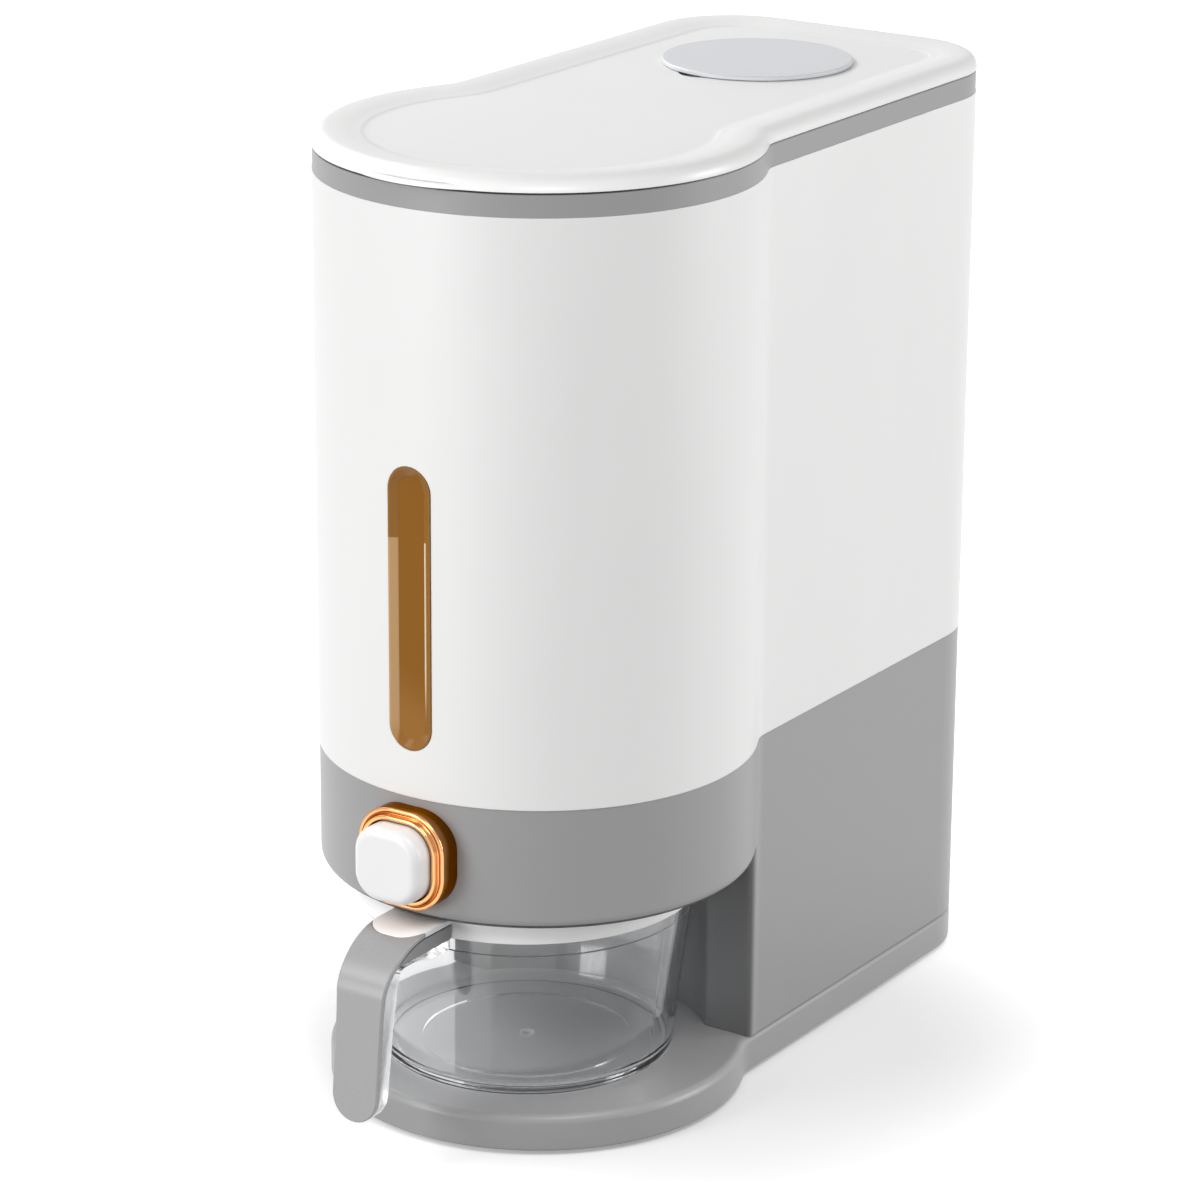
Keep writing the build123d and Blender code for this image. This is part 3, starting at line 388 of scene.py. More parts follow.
class PieceSettings(bpy.types.PropertyGroup):
    """Sizes of the pieces that are made here."""

    bezel_corner: FloatProperty(
        name="Bezel corner", description="Corner radius of the bezel's outside",
        default=17.0 * MM, unit="LENGTH",
    )
    bezel_edge: FloatProperty(
        name="Bezel edge", description="Rounding of the bezel's outer edge",
        default=0.9 * MM, unit="LENGTH",
    )
    bezel_seat: FloatProperty(
        name="Bezel seat", description="Radius of the round head that the bezel sits on",
        default=94.75 * MM, unit="LENGTH",
    )
    sleeve_wall: FloatProperty(
        name="Sleeve wall", description="Wall of the bezel's sleeve", default=1.6 * MM, unit="LENGTH"
    )
    arm_half: FloatProperty(
        name="Arm half", description="Half the width of the clear arm", default=11.1 * MM, unit="LENGTH"
    )
    arm_flare: FloatProperty(
        name="Arm flare", description="How much the arm's half width grows upwards",
        default=2.1 * MM, unit="LENGTH",
    )
    arm_edge: FloatProperty(
        name="Arm edge", description="Rounding of the clear arm's edges", default=0.6 * MM, unit="LENGTH"
    )
    sprue: FloatProperty(
        name="Sprue", description="Radius of the sprue mark on the cup's floor",
        default=3.4 * MM, unit="LENGTH",
    )
    spring_wire: FloatProperty(
        name="Spring wire", description="Diameter of the return spring's wire",
        default=1.1 * MM, unit="LENGTH",
    )
    spring_turns: IntProperty(
        name="Spring turns", description="Turns of the return spring", default=6, min=1
    )


class Value:
    """A node's output for use in expressions: each operator adds one Math node."""

    def __init__(self, finish, socket):
        self.finish = finish
        self.socket = socket

    def math(self, operation, first, second):
        return self.finish.node("ShaderNodeMath", {"operation": operation}, {0: first, 1: second})

    def __add__(self, other):
        return self.math("ADD", self, other)

    def __sub__(self, other):
        return self.math("SUBTRACT", self, other)

    def __rsub__(self, other):
        return self.math("SUBTRACT", other, self)

    def __mul__(self, other):
        return self.math("MULTIPLY", self, other)

    __radd__ = __add__
    __rmul__ = __mul__


class Finish:
    """A node tree that is built node by node."""

    def __init__(self, tree):
        self.tree = tree
        tree.nodes.clear()

    def node(self, kind, settings=None, inputs=None, output=0):
        """Add a node, set it up, then fill or link its sockets."""
        made = self.tree.nodes.new(kind)
        for key, value in (settings or {}).items():
            setattr(made, key, value)
        for key, value in (inputs or {}).items():
            if isinstance(value, Value):
                self.tree.links.new(value.socket, made.inputs[key])
            else:
                made.inputs[key].default_value = value
        return Value(self, made.outputs[output]) if made.outputs else made

    def place(self):
        return self.node("ShaderNodeTexCoord", output="Object")

    def axes(self):
        """The three parts of the place."""
        parts = self.node("ShaderNodeSeparateXYZ", None, {0: self.place()}).socket.node.outputs
        return [Value(self, part) for part in parts]

    def rise(self, value, low, high):
        """Nothing up to a low value, one from a high value on, and smooth between."""
        sockets = {"Value": value, "From Min": low, "From Max": high}
        return self.node("ShaderNodeMapRange", {"interpolation_type": "SMOOTHSTEP"}, sockets)

    def noise(self, size, detail=2.0, rough=0.5, stretch=(1.0, 1.0, 1.0)):
        spot = self.node("ShaderNodeMapping", None, {"Vector": self.place(), "Scale": stretch})
        sockets = {"Vector": spot, "Scale": 1 / size, "Detail": detail, "Roughness": rough}
        return self.node("ShaderNodeTexNoise", None, sockets)

    def vector(self, operation, first, second, output="Value"):
        """Sum on two vectors."""
        return self.node("ShaderNodeVectorMath", {"operation": operation}, {0: first, 1: second}, output)

    def clamped(self, operation, first, second):
        """Sum on two values, kept between nothing and one."""
        settings = {"operation": operation, "use_clamp": True}
        return self.node("ShaderNodeMath", settings, {0: first, 1: second})

    def mix(self, factor, first, second):
        """Colour between two, by a factor."""
        return self.node("ShaderNodeMix", {"data_type": "RGBA"}, {0: factor, 6: first, 7: second}, 2)

    def bump(self, height, strength, depth, normal=None):
        sockets = {"Height": height, "Strength": strength, "Distance": depth}
        if normal is not None:
            sockets["Normal"] = normal
        return self.node("ShaderNodeBump", None, sockets)

    def shader(self, **sockets):
        """One shader; a socket's name has its spaces as underscores."""
        inputs = {name.replace("_", " "): value for name, value in sockets.items()}
        return self.node("ShaderNodeBsdfPrincipled", None, inputs)

    def close(self, shader):
        self.node("ShaderNodeOutputMaterial", None, {"Surface": shader})

    def surface(self, **sockets):
        """Close the tree with one shader."""
        self.close(self.shader(**sockets))


def new_finish(name):
    """A fresh material and its node tree."""
    material = bpy.data.materials.new(name)
    material.use_nodes = True
    return material, Finish(material.node_tree)


def dress(material, *names):
    """Give a material to CAD nodes."""
    for name in names:
        slots = NODES[name].data.materials
        slots.clear()
        slots.append(material)


def full(colour):
    """Opaque colour of four parts."""
    return (*colour[:3], 1.0)


def shade(colour, share):
    """A lighter or darker copy of a colour."""
    return full([min(part * share, 1.0) for part in colour[:3]])


def moulded(name, colour, roughness, grain, edge, depth=0.02, darker=None, raised=None):
    """Moulded plastic: eroded grain, slow flow marks, and rounded edges that are a little polished and
    lighter, partly from wear and partly as a painted highlight.

    The grain's depth is in mm. Two functions may give the finish places that are darker, which is painted
    shade, or raised.
    """
    material, finish = new_finish(name)
    speck = finish.noise(grain, 3.0, 0.6)
    flow = finish.noise(FLOW_SIZE, 2.0, 0.5, (1.0, 1.0, 0.45))
    rounded = finish.node("ShaderNodeBevel", {"samples": 4}, {"Radius": edge})
    facing = finish.node("ShaderNodeNewGeometry", output="Normal")
    # Lighter edges: partly wear, partly a painted highlight
    wear_and_sheen = finish.clamped("MULTIPLY", 1 - finish.vector("DOT_PRODUCT", rounded, facing), WEAR_SHEEN_GAIN)
    body = finish.mix(flow, shade(colour, 1 - FLOW_TONE), shade(colour, 1 + FLOW_TONE))
    body = finish.mix(wear_and_sheen * WEAR_SHEEN_SHARE, body, shade(colour, WEAR_SHEEN_TONE))
    # Painted shade where the darker function marks gaps and the cup bay
    if darker:
        body = finish.mix(darker(finish), body, shade(colour, PAINTED_SHADE_TONE))
    if raised:
        rounded = finish.bump(raised(finish), 1.0, LID_CREASE, rounded)
    finish.surface(
        Base_Color=body,
        Roughness=roughness + (flow - 0.5) * 0.08 + (speck - 0.5) * 0.10 - wear_and_sheen * 0.08,
        Normal=finish.bump(speck, 0.25, depth * MM, rounded),
    )
    return material


def clear(name, colour, roughness, bend=1.49):
    """Clear plastic with faint ripples, that lets lamplight through."""
    material, finish = new_finish(name)
    ripple = finish.noise(RIPPLE_SIZE, 2.0, 0.4)
    haze = finish.noise(HAZE_SIZE, 4.0, 0.6)
    glass = finish.shader(
        Base_Color=finish.mix(ripple, shade(colour, 0.99), shade(colour, 1.01)),
        Roughness=roughness + (haze - 0.5) * 0.03,
        Normal=finish.bump(ripple, 0.10, 0.03 * MM),
        Transmission_Weight=1.0,
        IOR=bend,
    )
    through = finish.node("ShaderNodeBsdfTransparent", None, {"Color": shade(colour, 0.96)})
    lamp = finish.node("ShaderNodeLightPath", output="Is Shadow Ray")
    finish.close(finish.node("ShaderNodeMixShader", None, {0: lamp, 1: glass, 2: through}))
    return material


def put(name, shape, material, body, slot, *nodes):
    """Finish a new piece: normals, smooth shade, material, body and the nodes it stands for; the slot is
    not used.
    """
    bmesh.ops.remove_doubles(shape, verts=shape.verts, dist=MERGE)
    bmesh.ops.recalc_face_normals(shape, faces=shape.faces)
    for face in shape.faces:
        face.smooth = True
    mesh = bpy.data.meshes.new(name)
    shape.to_mesh(mesh)
    shape.free()
    mesh.materials.append(material)
    piece = bpy.data.objects.new(name, mesh)
    bpy.context.scene.collection.objects.link(piece)
    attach(piece, body)
    if nodes:
        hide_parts(*nodes)
    return piece


def even(piece):
    """Shade flat sides flat and rounded edges round."""
    piece.modifiers.new("even", "WEIGHTED_NORMAL").keep_sharp = True


def spread(points, shares):
    """Places at shares of a line's length."""
    lengths = [0.0]
    for start, end in zip(points, points[1:]):
        lengths.append(lengths[-1] + (end - start).length)
    places = []
    for share in shares:
        reach = share * lengths[-1]
        index = max(i for i, length in enumerate(lengths[:-1]) if length <= reach)
        part = (reach - lengths[index]) / (lengths[index + 1] - lengths[index])
        places.append(points[index].lerp(points[index + 1], part))
    return places


def plated(name, colour, roughness, lay, deep=None, **sockets):
    """Metal with fine lines along one way and slight tarnish, darker where a piece is marked as deep, which
    is painted shade and dark reflection.
    """
    material, finish = new_finish(name)
    lines = finish.noise(LINE_SIZE, 3.0, 0.6, lay)
    cloud = finish.noise(TARNISH_SIZE, 3.0, 0.5)
    body = finish.mix(cloud, shade(colour, 0.94), shade(colour, 1.05))
    if deep is not None:
        marked = finish.node("ShaderNodeAttribute", {"attribute_name": "deep"}, output="Fac")
        body = finish.mix(marked, body, full(deep))
    finish.surface(
        Base_Color=body,
        Metallic=1.0,
        Roughness=roughness + (lines - 0.5) * 0.06 + (cloud - 0.5) * 0.04,
        Normal=finish.bump(lines, 0.08, 0.02 * MM),
        **sockets,
    )
    return material


class DISPENSER_OT_stage(bpy.types.Operator):
    """Make the floor, lamps, sky and camera"""

    bl_idname = "dispenser.stage"
    bl_label = "Studio"

    def execute(self, context):
        settings = context.scene.dispenser_stage
        context.scene.view_settings.view_transform = "Standard"
        floor = self.make_floor(settings)
        self.make_sky(context, settings)
        lamps = {name: self.lamp(name, getattr(settings, name), *place) for name, place in LAMPS.items()}
        lid = [NODES["lid"], NODES["desiccant_cap"]]
        self.reach("but_floor", [floor], [lamps["key"], lamps["side"]], "EXCLUDE")
        self.reach("but_floor_and_lid", [floor, *lid], [lamps["back"]], "EXCLUDE")
        self.reach("but_lid", lid, [lamps["top"]], "EXCLUDE")
        self.reach("lid_only", lid, [lamps["lid"], lamps["rim"]], "INCLUDE")
        self.reach("collar_only", [NODES["cup_collar"]], [lamps["collar"]], "INCLUDE")
        self.make_camera(context, settings)
        return {"FINISHED"}

    def make_floor(self, settings):
        mesh = bpy.data.meshes.new("floor")
        shape = bmesh.new()
        bmesh.ops.create_grid(shape, x_segments=1, y_segments=1, size=FLOOR_HALF)
        shape.to_mesh(mesh)
        shape.free()
        floor = bpy.data.objects.new("floor", mesh)
        bpy.context.scene.collection.objects.link(floor)
        material, finish = new_finish("floor_white")
        seen = self.seen(finish)
        cloud = finish.noise(FLOOR_CLOUD, 2.0)
        plain, shown = (
            finish.mix(cloud, shade((tone,) * 3, 0.99), shade((tone,) * 3, 1.01))
            for tone in (settings.floor_tone, settings.floor_seen)
        )
        matt = finish.node("ShaderNodeBsdfDiffuse", None, {"Color": finish.mix(seen, plain, shown)})
        # Painted shadow: the floor's white glow is dimmed round the shadow's place, most within SHADOW_CORE
        away = finish.vector("DISTANCE", finish.place(), settings.shadow_place)
        lit = finish.rise(away, SHADOW_CORE, settings.shadow_reach)
        white = settings.floor_glow + (1 - settings.floor_glow) * lit
        glow = finish.mix(seen * white, full((0.0,) * 3), full((1.0,) * 3))
        glow = finish.node("ShaderNodeEmission", None, {"Color": glow})
        finish.close(finish.node("ShaderNodeAddShader", None, {0: matt, 1: glow}))
        mesh.materials.append(material)
        return floor

    def reach(self, name, pieces, lamps, state):
        """Let lamps light only these pieces, or all but these."""
        group = bpy.data.collections.new(name)
        for piece in pieces:
            group.objects.link(piece)
        for item in group.collection_objects:
            item.light_linking.link_state = state
        for lamp in lamps:
            lamp.light_linking.receiver_collection = group

    def seen(self, finish):
        """One where the camera, a gloss or a clear piece looks, and nothing where light is gathered."""
        path = finish.node("ShaderNodeLightPath", output="Is Camera Ray")
        names = ("Is Glossy Ray", "Is Transmission Ray")
        gloss, clear = (Value(finish, path.socket.node.outputs[name]) for name in names)
        return finish.clamped("ADD", path + gloss, clear)

    def make_sky(self, context, settings):
        world = bpy.data.worlds.new("studio")
        context.scene.world = world
        world.use_nodes = True
        finish = Finish(world.node_tree)
        seen = self.seen(finish)
        tone = finish.mix(seen, full((settings.sky,) * 3), full((1.0,) * 3))
        glow = finish.node("ShaderNodeBackground", None, {"Color": tone})
        finish.node("ShaderNodeOutputWorld", None, {"Surface": glow})

    def lamp(self, name, power, size, azimuth, elevation):
        """Square soft lamp that faces the middle of the object."""
        data = bpy.data.lights.new(f"{name}_lamp", "AREA")
        data.energy = power
        data.size = size
        lamp = bpy.data.objects.new(data.name, data)
        turn = Matrix.Rotation(math.radians(azimuth), 4, "Z")
        tilt = Matrix.Rotation(math.radians(90.0 - elevation), 4, "X")
        away = Matrix.Translation((0.0, 0.0, LAMP_AWAY))
        lamp.matrix_world = Matrix.Translation((0.0, 0.0, LAMP_AIM)) @ turn @ tilt @ away
        bpy.context.scene.collection.objects.link(lamp)
        return lamp

    def make_camera(self, context, settings):
        data = bpy.data.cameras.new("camera")
        data.sensor_width = SENSOR
        data.lens = settings.lens
        camera = bpy.data.objects.new("camera", data)
        turn = Matrix.Rotation(settings.azimuth, 4, "Z")
        tilt = Matrix.Rotation(math.pi / 2 - settings.elevation, 4, "X")
        roll = Matrix.Rotation(settings.roll, 4, "Z")
        camera.matrix_world = Matrix.Translation(settings.place) @ turn @ tilt @ roll
        context.scene.collection.objects.link(camera)
        context.scene.camera = camera


class DISPENSER_OT_white_mouldings(bpy.types.Operator):
    """Finish the shell, lid and cup collar"""

    bl_idname = "dispenser.white_mouldings"
    bl_label = "White mouldings"

    def execute(self, context):
        f = context.scene.dispenser_finish
        dress(moulded("white_satin", f.white, 0.42, f.grain, f.edge), "outer_shell")
        satin = moulded("white_lid_satin", f.white, 0.34, f.grain, f.edge, depth=0.012, raised=self.crease)
        dress(satin, "lid")
        # Painted light: the collar is a lighter copy of the shell's white, making up for the shade under
        # the head
        bright = moulded("white_collar", shade(f.white, 1.08), 0.32, f.grain, f.edge, depth=0.012)
        dress(bright, "cup_collar")
        return {"FINISHED"}

    def crease(self, finish):
        """Rise from the lid's sunken panel to the slope of its rim."""
        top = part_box("lid")[1].z
        z = finish.axes()[2]
        facing = finish.node("ShaderNodeTexCoord", output="Normal")
        upward = finish.vector("DOT_PRODUCT", facing, (0.0, 0.0, 1.0))
        sunken = 1 - finish.rise(z, top - CREASE_LOW, top - CREASE_HIGH)
        return 1 - sunken * finish.rise(upward, *CREASE_FLAT)


class DISPENSER_OT_grey_mouldings(bpy.types.Operator):
    """Finish the band, head, column, base and strap"""

    bl_idname = "dispenser.grey_mouldings"
    bl_label = "Grey mouldings"

    def execute(self, context):
        f = context.scene.dispenser_finish
        dress(moulded("grey_satin", f.grey, 0.40, f.grain, f.edge, darker=self.seam), "rim_ring")
        dress(moulded("grey_housing", f.grey, 0.40, f.grain, f.edge, darker=self.bay), "lower_housing")
        # Painted light: the base is a lighter copy of the grey, standing for the stronger light on its deck
        dress(moulded("grey_base", shade(f.grey, 1.1), 0.36, f.grain, f.edge), "base_plate")
        strap = moulded("grey_strap", shade(f.grey, 1.15), 0.28, f.grain, f.edge, depth=0.012)
        dress(strap, "handle_cover")
        dress(moulded("grey_liner", f.dark_grey, 0.38, f.grain, f.edge), "handle_liner")
        return {"FINISHED"}

    def seam(self, finish):
        """Painted shade in the gap under the lid's front edge."""
        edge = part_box("lid")[1].z - LID_EDGE
        y, z = finish.axes()[1:]
        front = 1 - finish.rise(y, SEAM_FRONT, SEAM_REAR)
        return front * finish.rise(z, edge - SEAM_LOW, edge - SEAM_HIGH) * SEAM_DARK

    def bay(self, finish):
        """Painted shade: the cup bay, which is darker, and the gap under the head's lower edge, which is
        nearly black.
        """
        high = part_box("cup_collar")[1]
        head = high.z + COLLAR_GAP
        niche = high.x + BAY_GAP
        axis = Vector((0.0, high.y - high.x, 0.0))
        y, z = finish.axes()[1:]
        flat = finish.vector("MULTIPLY", finish.place(), (1.0, 1.0, 0.0), "Vector")
        away = finish.vector("DISTANCE", flat, axis)
        behind = finish.rise(y, *(BAY_BACK + step for step in COLUMN_FADE))
        inside = 1 - behind * finish.rise(away, *(niche + step for step in NICHE_FADE))
        above = finish.rise(z, *(head + step for step in HEAD_UNDER))
        gap = (1 - finish.rise(z, *(head + step for step in HEAD_EDGE))) * above
        return inside * (gap * GAP_DARK + (1 - above) * BAY_DARK)


class DISPENSER_OT_window(bpy.types.Operator):
    """Finish the amber window"""

    bl_idname = "dispenser.window"
    bl_label = "Window"

    def execute(self, context):
        f = context.scene.dispenser_finish
        dress(self.amber_pane(f), "window_lens")
        return {"FINISHED"}

    def amber_pane(self, f):
        """Deep amber; the bevel is paler at the left and a bright line runs along the right of the pane,
        both painted reflections.
        """
        low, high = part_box("window_lens")
        material, finish = new_finish("amber_pane")
        ripple = finish.noise(PANE_RIPPLE, 2.0, 0.4)
        x, y, z = finish.axes()
        bevel = 1 - finish.rise(y, *(low.y + step for step in PANE_BEVEL))
        upper = finish.rise(z, *(high.z - step for step in PANE_UPPER))
        foot = 1 - finish.rise(z, *(low.z + step for step in PANE_FOOT))
        left = 1 - finish.rise(x, *PANE_LEFT)
        line = finish.rise(x, *LINE_LEFT) * (1 - finish.rise(x, *LINE_RIGHT))
        line = line * (1 - upper) * finish.rise(z, *(low.z + step for step in LINE_FOOT))
        paler = finish.rise(x * -0.4 - z, *(-low.z - step for step in PANE_PALER))
        pane = finish.mix(paler * 0.8, full(f.amber), full(f.amber_pale))
        pane = finish.mix(ripple * 0.12, pane, shade(f.amber, 0.8))
        # Painted reflection on the bevel's lower left, and a painted highlight line along the pane's right
        edge = finish.mix(left * (1 - upper) * (1 - foot * 0.5), full(f.amber_edge), full(f.amber_glint))
        edge = finish.mix(line, edge, full(f.amber_highlight))
        finish.surface(
            Base_Color=finish.mix(bevel, pane, edge),
            Roughness=0.10 + ripple * 0.06,
            Normal=finish.bump(ripple, 0.12, 0.03 * MM),
            Specular_IOR_Level=0.12,
        )
        return material


class DISPENSER_OT_button(bpy.types.Operator):
    """Finish the button and make its bezel"""

    bl_idname = "dispenser.button"
    bl_label = "Button"

    def execute(self, context):
        f = context.scene.dispenser_finish
        dress(moulded("button_white", f.button_white, 0.30, f.grain, f.edge, depth=0.01), "button_cap")
        tint = full(f.plate)
        plating = plated("rose_plating", f.plate, 0.11, (1.0, 1.0, 1.0), f.plate_shade, Specular_Tint=tint)
        bezel = self.bezel(context.scene.dispenser_piece)
        put("bezel", bezel, plating, "housing", "rose_gold", "button_bezel")
        return {"FINISHED"}

    def bezel(self, sizes):
        """Rounded square that is stepped inwards ring by ring, then given its wall and its sleeve."""
        low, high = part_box("button_bezel")
        shell_low, shell_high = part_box("outer_shell")
        axis = shell_low.y + shell_high.x
        shape = bmesh.new()
        # Each corner's share of painted shade and dark reflection on the plating
        deep = shape.verts.layers.float.new("deep")

        def draw(edges, place, tone):
            """Draw a loop out into a wall, put its far corners in place and give back the far loop."""
            made = bmesh.ops.extrude_edge_only(shape, edges=edges)["geom"]
            corners = {item for item in made if isinstance(item, bmesh.types.BMVert)}
            for vert in corners:
                vert.co = place(vert.co)
                vert[deep] = tone
            lines = [item for item in made if isinstance(item, bmesh.types.BMEdge)]
            return [line for line in lines if corners.issuperset(line.verts)]

        def seat(spot):
            return Vector((spot.x, axis - math.sqrt(sizes.bezel_seat**2 - spot.x**2), spot.z))

        def grown(spot):
            share = 1 + sizes.sleeve_wall / (high.x - BEZEL_LANDS[-1][0] * MM)
            return Vector((spot.x * share, spot.y, middle + (spot.z - middle) * share))

        middle = (low.z + high.z) / 2
        root = low.y + max(up for _, up, _ in BEZEL_LANDS) * MM + sizes.bezel_edge
        facing = Matrix.Translation((0.0, root, middle)) @ Matrix.Rotation(math.pi / 2, 4, "X")
        bmesh.ops.create_grid(shape, x_segments=1, y_segments=1, size=high.x, matrix=facing)
        bmesh.ops.bevel(
            shape,
            geom=shape.verts[:],
            offset=sizes.bezel_corner,
            affect="VERTICES",
            segments=CORNER_STEPS,
            profile=0.5,
            material=-1,
        )
        face = shape.faces[:][0]
        turns = [math.pi / 2 * step / EDGE_STEPS for step in range(EDGE_STEPS + 1)]
        bend = sizes.bezel_edge
        steps = [((1 - math.cos(turn)) * bend, (math.sin(turn) - 1) * bend, EDGE_TONE) for turn in turns]
        steps += [(across * MM, up * MM, tone) for across, up, tone in BEZEL_LANDS]
        for vert in face.verts:
            vert[deep] = ROOT_TONE
        for last, step in zip(steps, steps[1:]):
            across, up = step[0] - last[0], step[1] - last[1]
            bmesh.ops.inset_region(
                shape, faces=[face], thickness=across, depth=up, use_boundary=True, use_even_offset=True
            )
            for vert in face.verts:
                vert[deep] = step[2]
        opening = face.edges[:]
        outside = [edge for edge in shape.edges if edge.is_boundary]
        bmesh.ops.delete(shape, geom=[face], context="FACES_ONLY")
        back = draw(opening, lambda spot: Vector((spot.x, high.y, spot.z)), SLEEVE_TONE)
        sleeve = draw(draw(back, grown, SLEEVE_TONE), seat, SLEEVE_TONE)
        wall = draw(outside, seat, WALL_TONE)
        bmesh.ops.bridge_loops(shape, edges=sleeve + wall)
        return shape


class DISPENSER_OT_cup(bpy.types.Operator):
    """Finish the clear cup, and make its handle's clear arm and its sprue mark"""

    bl_idname = "dispenser.cup"
    bl_label = "Cup"

    def execute(self, context):
        f = context.scene.dispenser_finish
        sizes = context.scene.dispenser_piece
        plastic = clear("clear_plastic", f.cup_clear, 0.03)
        dress(plastic, "cup_body")
        # Painted reflection: grey tint for the darker surroundings that the arm reflects
        dimmed_clear = clear("clear_arm", f.arm_dim_tint, 0.16, 1.3)
        even(put("clear_arm", self.arm(sizes), dimmed_clear, "cup", "clear_plastic", "handle_core"))
        hazy = clear("hazy_plastic", f.mark_haze, 0.32)
        put("sprue_mark", self.sprue(sizes), hazy, "cup", "clear_plastic")
        return {"FINISHED"}

    def arm(self, sizes):
        """Clear arm: rectangles across the handle, joined end to end, with rounded edges."""
        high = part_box("handle_core")[1]
        toe_out, *bow = [Vector((0.0, y, z)) * MM for y, z in ARM_OUTER]
        toe_in, leg, knee, under, *bulge = [Vector((0.0, y, z)) * MM for y, z in ARM_INNER]
        curve = [spot for spot in interpolate_bezier(*bow, BOW_POINTS) if spot.z < high.z]
        corner = Vector((0.0, curve[-1].y, high.z))
        outer = [toe_out, *curve, corner]
        inner = [toe_in, *interpolate_bezier(leg, knee, knee, under, KNEE_POINTS)]
        top = [corner, Vector((0.0, high.y, high.z))]
        below = [under, *interpolate_bezier(*bulge, BULGE_POINTS), Vector((0.0, high.y, bulge[-1].z))]
        legs = [1 - math.cos(math.pi / 2 * step / LEG_RUNGS) for step in range(1, LEG_RUNGS + 1)]
        arms = [step / TOP_RUNGS for step in range(1, TOP_RUNGS + 1)]
        rungs = [*zip(spread(outer, legs), spread(inner, legs))]
        rungs += zip(spread(top, arms), spread(below, arms))
        shape = bmesh.new()
        loops = []
        for out, into in rungs:
            across = (out - into) / 2
            turn = Matrix.Rotation(math.atan2(across.z, across.y), 4, "X")
            half = self.arm_half(sizes, (out.z + into.z) / 2, toe_out.z)
            grow = Matrix.Diagonal((half, across.length, 1.0, 1.0))
            place = Matrix.Translation((out + into) / 2) @ turn @ grow
            bmesh.ops.create_grid(shape, x_segments=1, y_segments=1, size=1.0, matrix=place)
            loops.append(shape.faces[:][-1].edges[:])
        bmesh.ops.delete(shape, geom=shape.faces[1:-1], context="FACES_ONLY")
        ribs = {edge for loop in loops for edge in loop}
        for loop, after in zip(loops, loops[1:]):
            bmesh.ops.bridge_loops(shape, edges=loop + after)
        bmesh.ops.recalc_face_normals(shape, faces=shape.faces)
        along = [edge for edge in shape.edges if edge not in ribs]
        bmesh.ops.bevel(
            shape,
            geom=along,
            offset=sizes.arm_edge,
            affect="EDGES",
            segments=ROUND_STEPS,
            profile=0.5,
            material=-1,
            clamp_overlap=True,
        )
        return shape

    def arm_half(self, sizes, level, low):
        """Half the arm's width at a height: round at the toe, then straight, then flared."""
        under = max(low + sizes.arm_half - level, 0.0)
        flare = max(level - ARM_FLARE[0] * MM, 0.0) / (ARM_FLARE[1] * MM)
        return math.sqrt(max(sizes.arm_half**2 - under**2, 0.0)) + sizes.arm_flare * flare**2

    def sprue(self, sizes):
        """Low ring with a dimple, where the plastic ran into the mould."""
        low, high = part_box("cup_body")
        middle = (low + high) / 2
        shape = bmesh.new()
        place = Matrix.Translation((0.0, middle.y, low.z + CUP_FLOOR + SPRUE_LIFT))
        bmesh.ops.create_circle(
            shape, cap_ends=True, segments=SPRUE_SIDES, radius=sizes.sprue, matrix=place
        )
        face = bmesh.ops.extrude_face_region(shape, geom=shape.faces[:], use_keep_orig=True)["geom"]
        face = next(item for item in face if isinstance(item, bmesh.types.BMFace))
        for across, up in SPRUE_STEPS:
            bmesh.ops.inset_region(shape, faces=[face], thickness=across * sizes.sprue, depth=up * MM)
        return shape


class DISPENSER_OT_drying_well(bpy.types.Operator):
    """Finish the drying well's cap and basket"""

    bl_idname = "dispenser.drying_well"
    bl_label = "Drying well"

    def execute(self, context):
        f = context.scene.dispenser_finish
        dress(moulded("frosted_cap", f.frost, 0.36, f.grain, f.edge, depth=0.01), "desiccant_cap")
        dress(moulded("basket_white", f.natural, 0.45, f.grain, f.edge), "desiccant_basket")
        return {"FINISHED"}


class DISPENSER_OT_works(bpy.types.Operator):
    """Finish the hopper, outlet, shutter and rod"""

    bl_idname = "dispenser.works"
    bl_label = "Works"

    def execute(self, context):
        f = context.scene.dispenser_finish
        natural = moulded("natural_white", f.natural, 0.45, f.grain, f.edge)
        dress(natural, "hopper", "outlet_chute", "gate_slide", "button_stem")
        return {"FINISHED"}


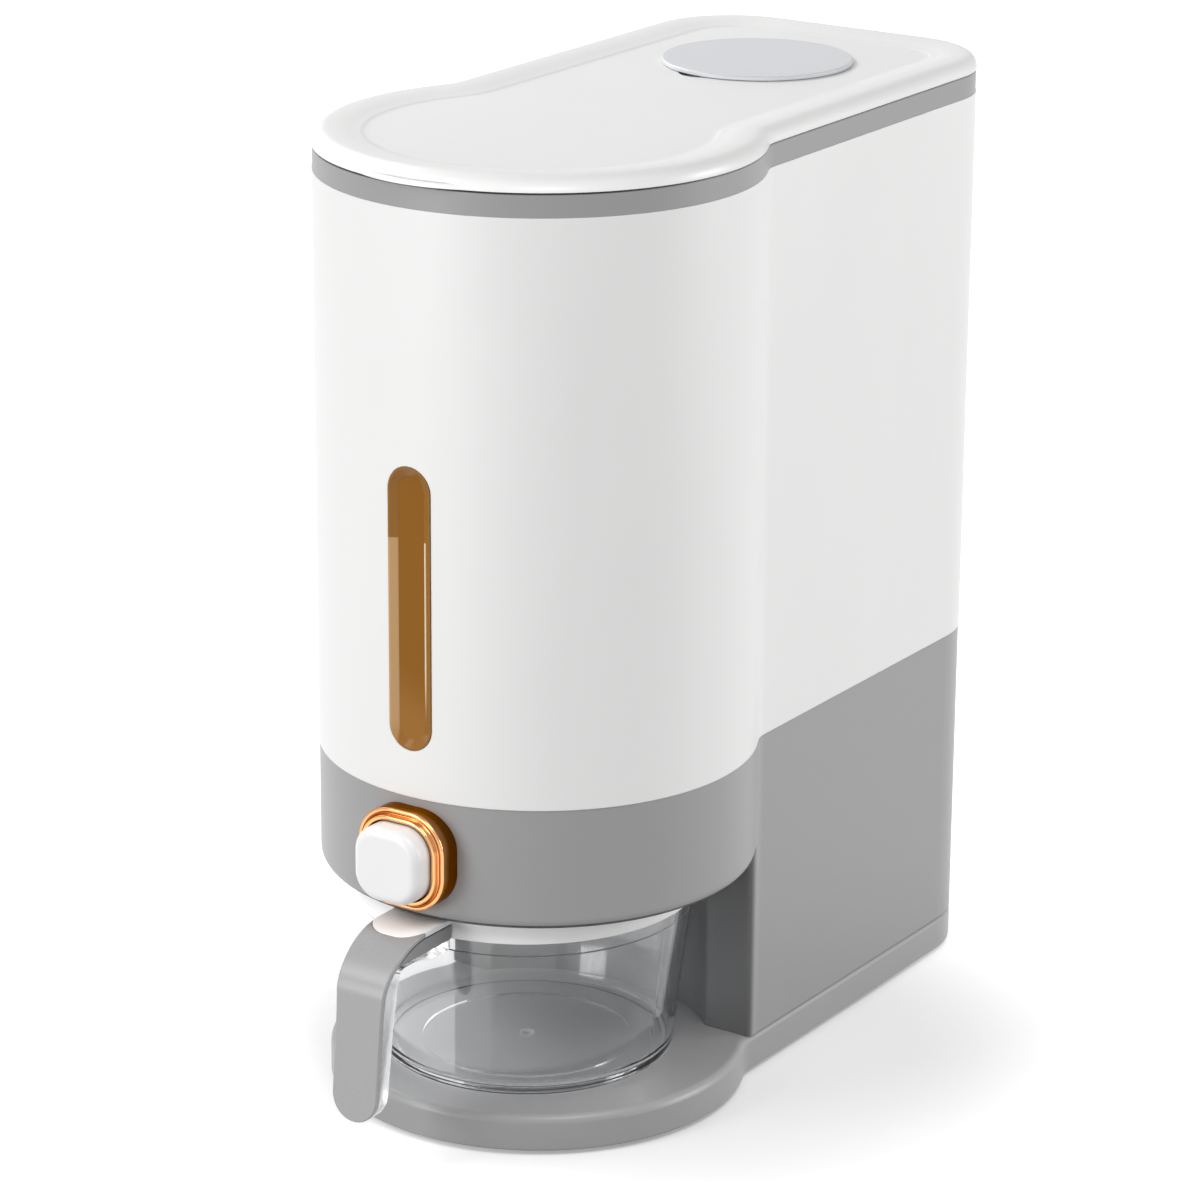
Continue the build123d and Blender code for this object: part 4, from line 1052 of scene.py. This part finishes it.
class DISPENSER_OT_spring(bpy.types.Operator):
    """Wind the return spring"""

    bl_idname = "dispenser.spring"
    bl_label = "Return spring"

    def execute(self, context):
        low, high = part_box("return_spring")
        wire = plated("spring_steel", context.scene.dispenser_finish.steel, 0.22, (1.0, 0.2, 1.0))
        coil = self.coil(context.scene.dispenser_piece, low, high)
        spring = put("spring", coil, wire, "housing", "steel", "return_spring")
        joints = frame["record"]["behaviour"]["joints"]
        push = next(joint for joint in joints if joint["name"] == "dispense_push")
        left = 1 - push["range_m"][1] / (high.y - low.y)
        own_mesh(spring)
        return {"FINISHED"}

    def coil(self, sizes, low, high):
        """Circle that is turned about the spring's axis and moved along it at each step."""
        half = sizes.spring_wire / 2
        middle = (low + high) / 2
        steps = SPRING_STEPS * sizes.spring_turns
        rise = (high.y - low.y - sizes.spring_wire) / steps
        shape = bmesh.new()
        start = Matrix.Translation((high.x - half, low.y + half, middle.z))
        bmesh.ops.create_circle(shape, segments=SPRING_SIDES, radius=half, matrix=start)
        bmesh.ops.spin(
            shape,
            geom=shape.verts[:] + shape.edges[:],
            cent=(0.0, 0.0, middle.z),
            axis=(0.0, 1.0, 0.0),
            dvec=(0.0, rise, 0.0),
            angle=2 * math.pi * sizes.spring_turns,
            steps=steps,
        )
        ends = [edge for edge in shape.edges if edge.is_boundary]
        bmesh.ops.holes_fill(shape, edges=ends)
        return shape


class DISPENSER_OT_fixings(bpy.types.Operator):
    """Finish the pin, screws, seal and feet"""

    bl_idname = "dispenser.fixings"
    bl_label = "Fixings"

    def execute(self, context):
        f = context.scene.dispenser_finish
        steel = plated("plain_steel", f.steel, 0.28, (1.0, 1.0, 0.2))
        dress(steel, "hinge_pin", "base_screws", "chute_screws")
        dress(moulded("soft_seal", f.seal, 0.65, f.grain, SEAL_EDGE), "lid_gasket")
        feet = [name for name in NODES if name.startswith("foot_")]
        dress(moulded("foot_rubber", f.rubber, 0.75, FOOT_GRAIN, FOOT_EDGE, depth=0.06), *feet)
        return {"FINISHED"}


class DISPENSER_PT_panel(bpy.types.Panel):
    """Lists the steps that dress the dispenser"""

    bl_idname = "DISPENSER_PT_panel"
    bl_label = "Rice dispenser"
    bl_space_type = "VIEW_3D"
    bl_region_type = "UI"
    bl_category = "Dispenser"

    def draw(self, context):
        for step in STEPS:
            self.layout.operator(step.bl_idname)


STEPS = (
    DISPENSER_OT_stage,
    DISPENSER_OT_white_mouldings,
    DISPENSER_OT_grey_mouldings,
    DISPENSER_OT_window,
    DISPENSER_OT_button,
    DISPENSER_OT_cup,
    DISPENSER_OT_drying_well,
    DISPENSER_OT_works,
    DISPENSER_OT_spring,
    DISPENSER_OT_fixings,
)
GROUPS = {
    "dispenser_stage": StageSettings,
    "dispenser_finish": FinishSettings,
    "dispenser_piece": PieceSettings,
}


def register():
    for name, group in GROUPS.items():
        bpy.utils.register_class(group)
        setattr(bpy.types.Scene, name, PointerProperty(type=group))
    for kind in (*STEPS, DISPENSER_PT_panel):
        bpy.utils.register_class(kind)


def unregister():
    for kind in (DISPENSER_PT_panel, *reversed(STEPS)):
        bpy.utils.unregister_class(kind)
    for name, group in GROUPS.items():
        delattr(bpy.types.Scene, name)
        bpy.utils.unregister_class(group)


def main():
    register()
    for step in STEPS:
        family, name = step.bl_idname.split(".")
        getattr(getattr(bpy.ops, family), name)()


if __name__ == "__main__":
    main()
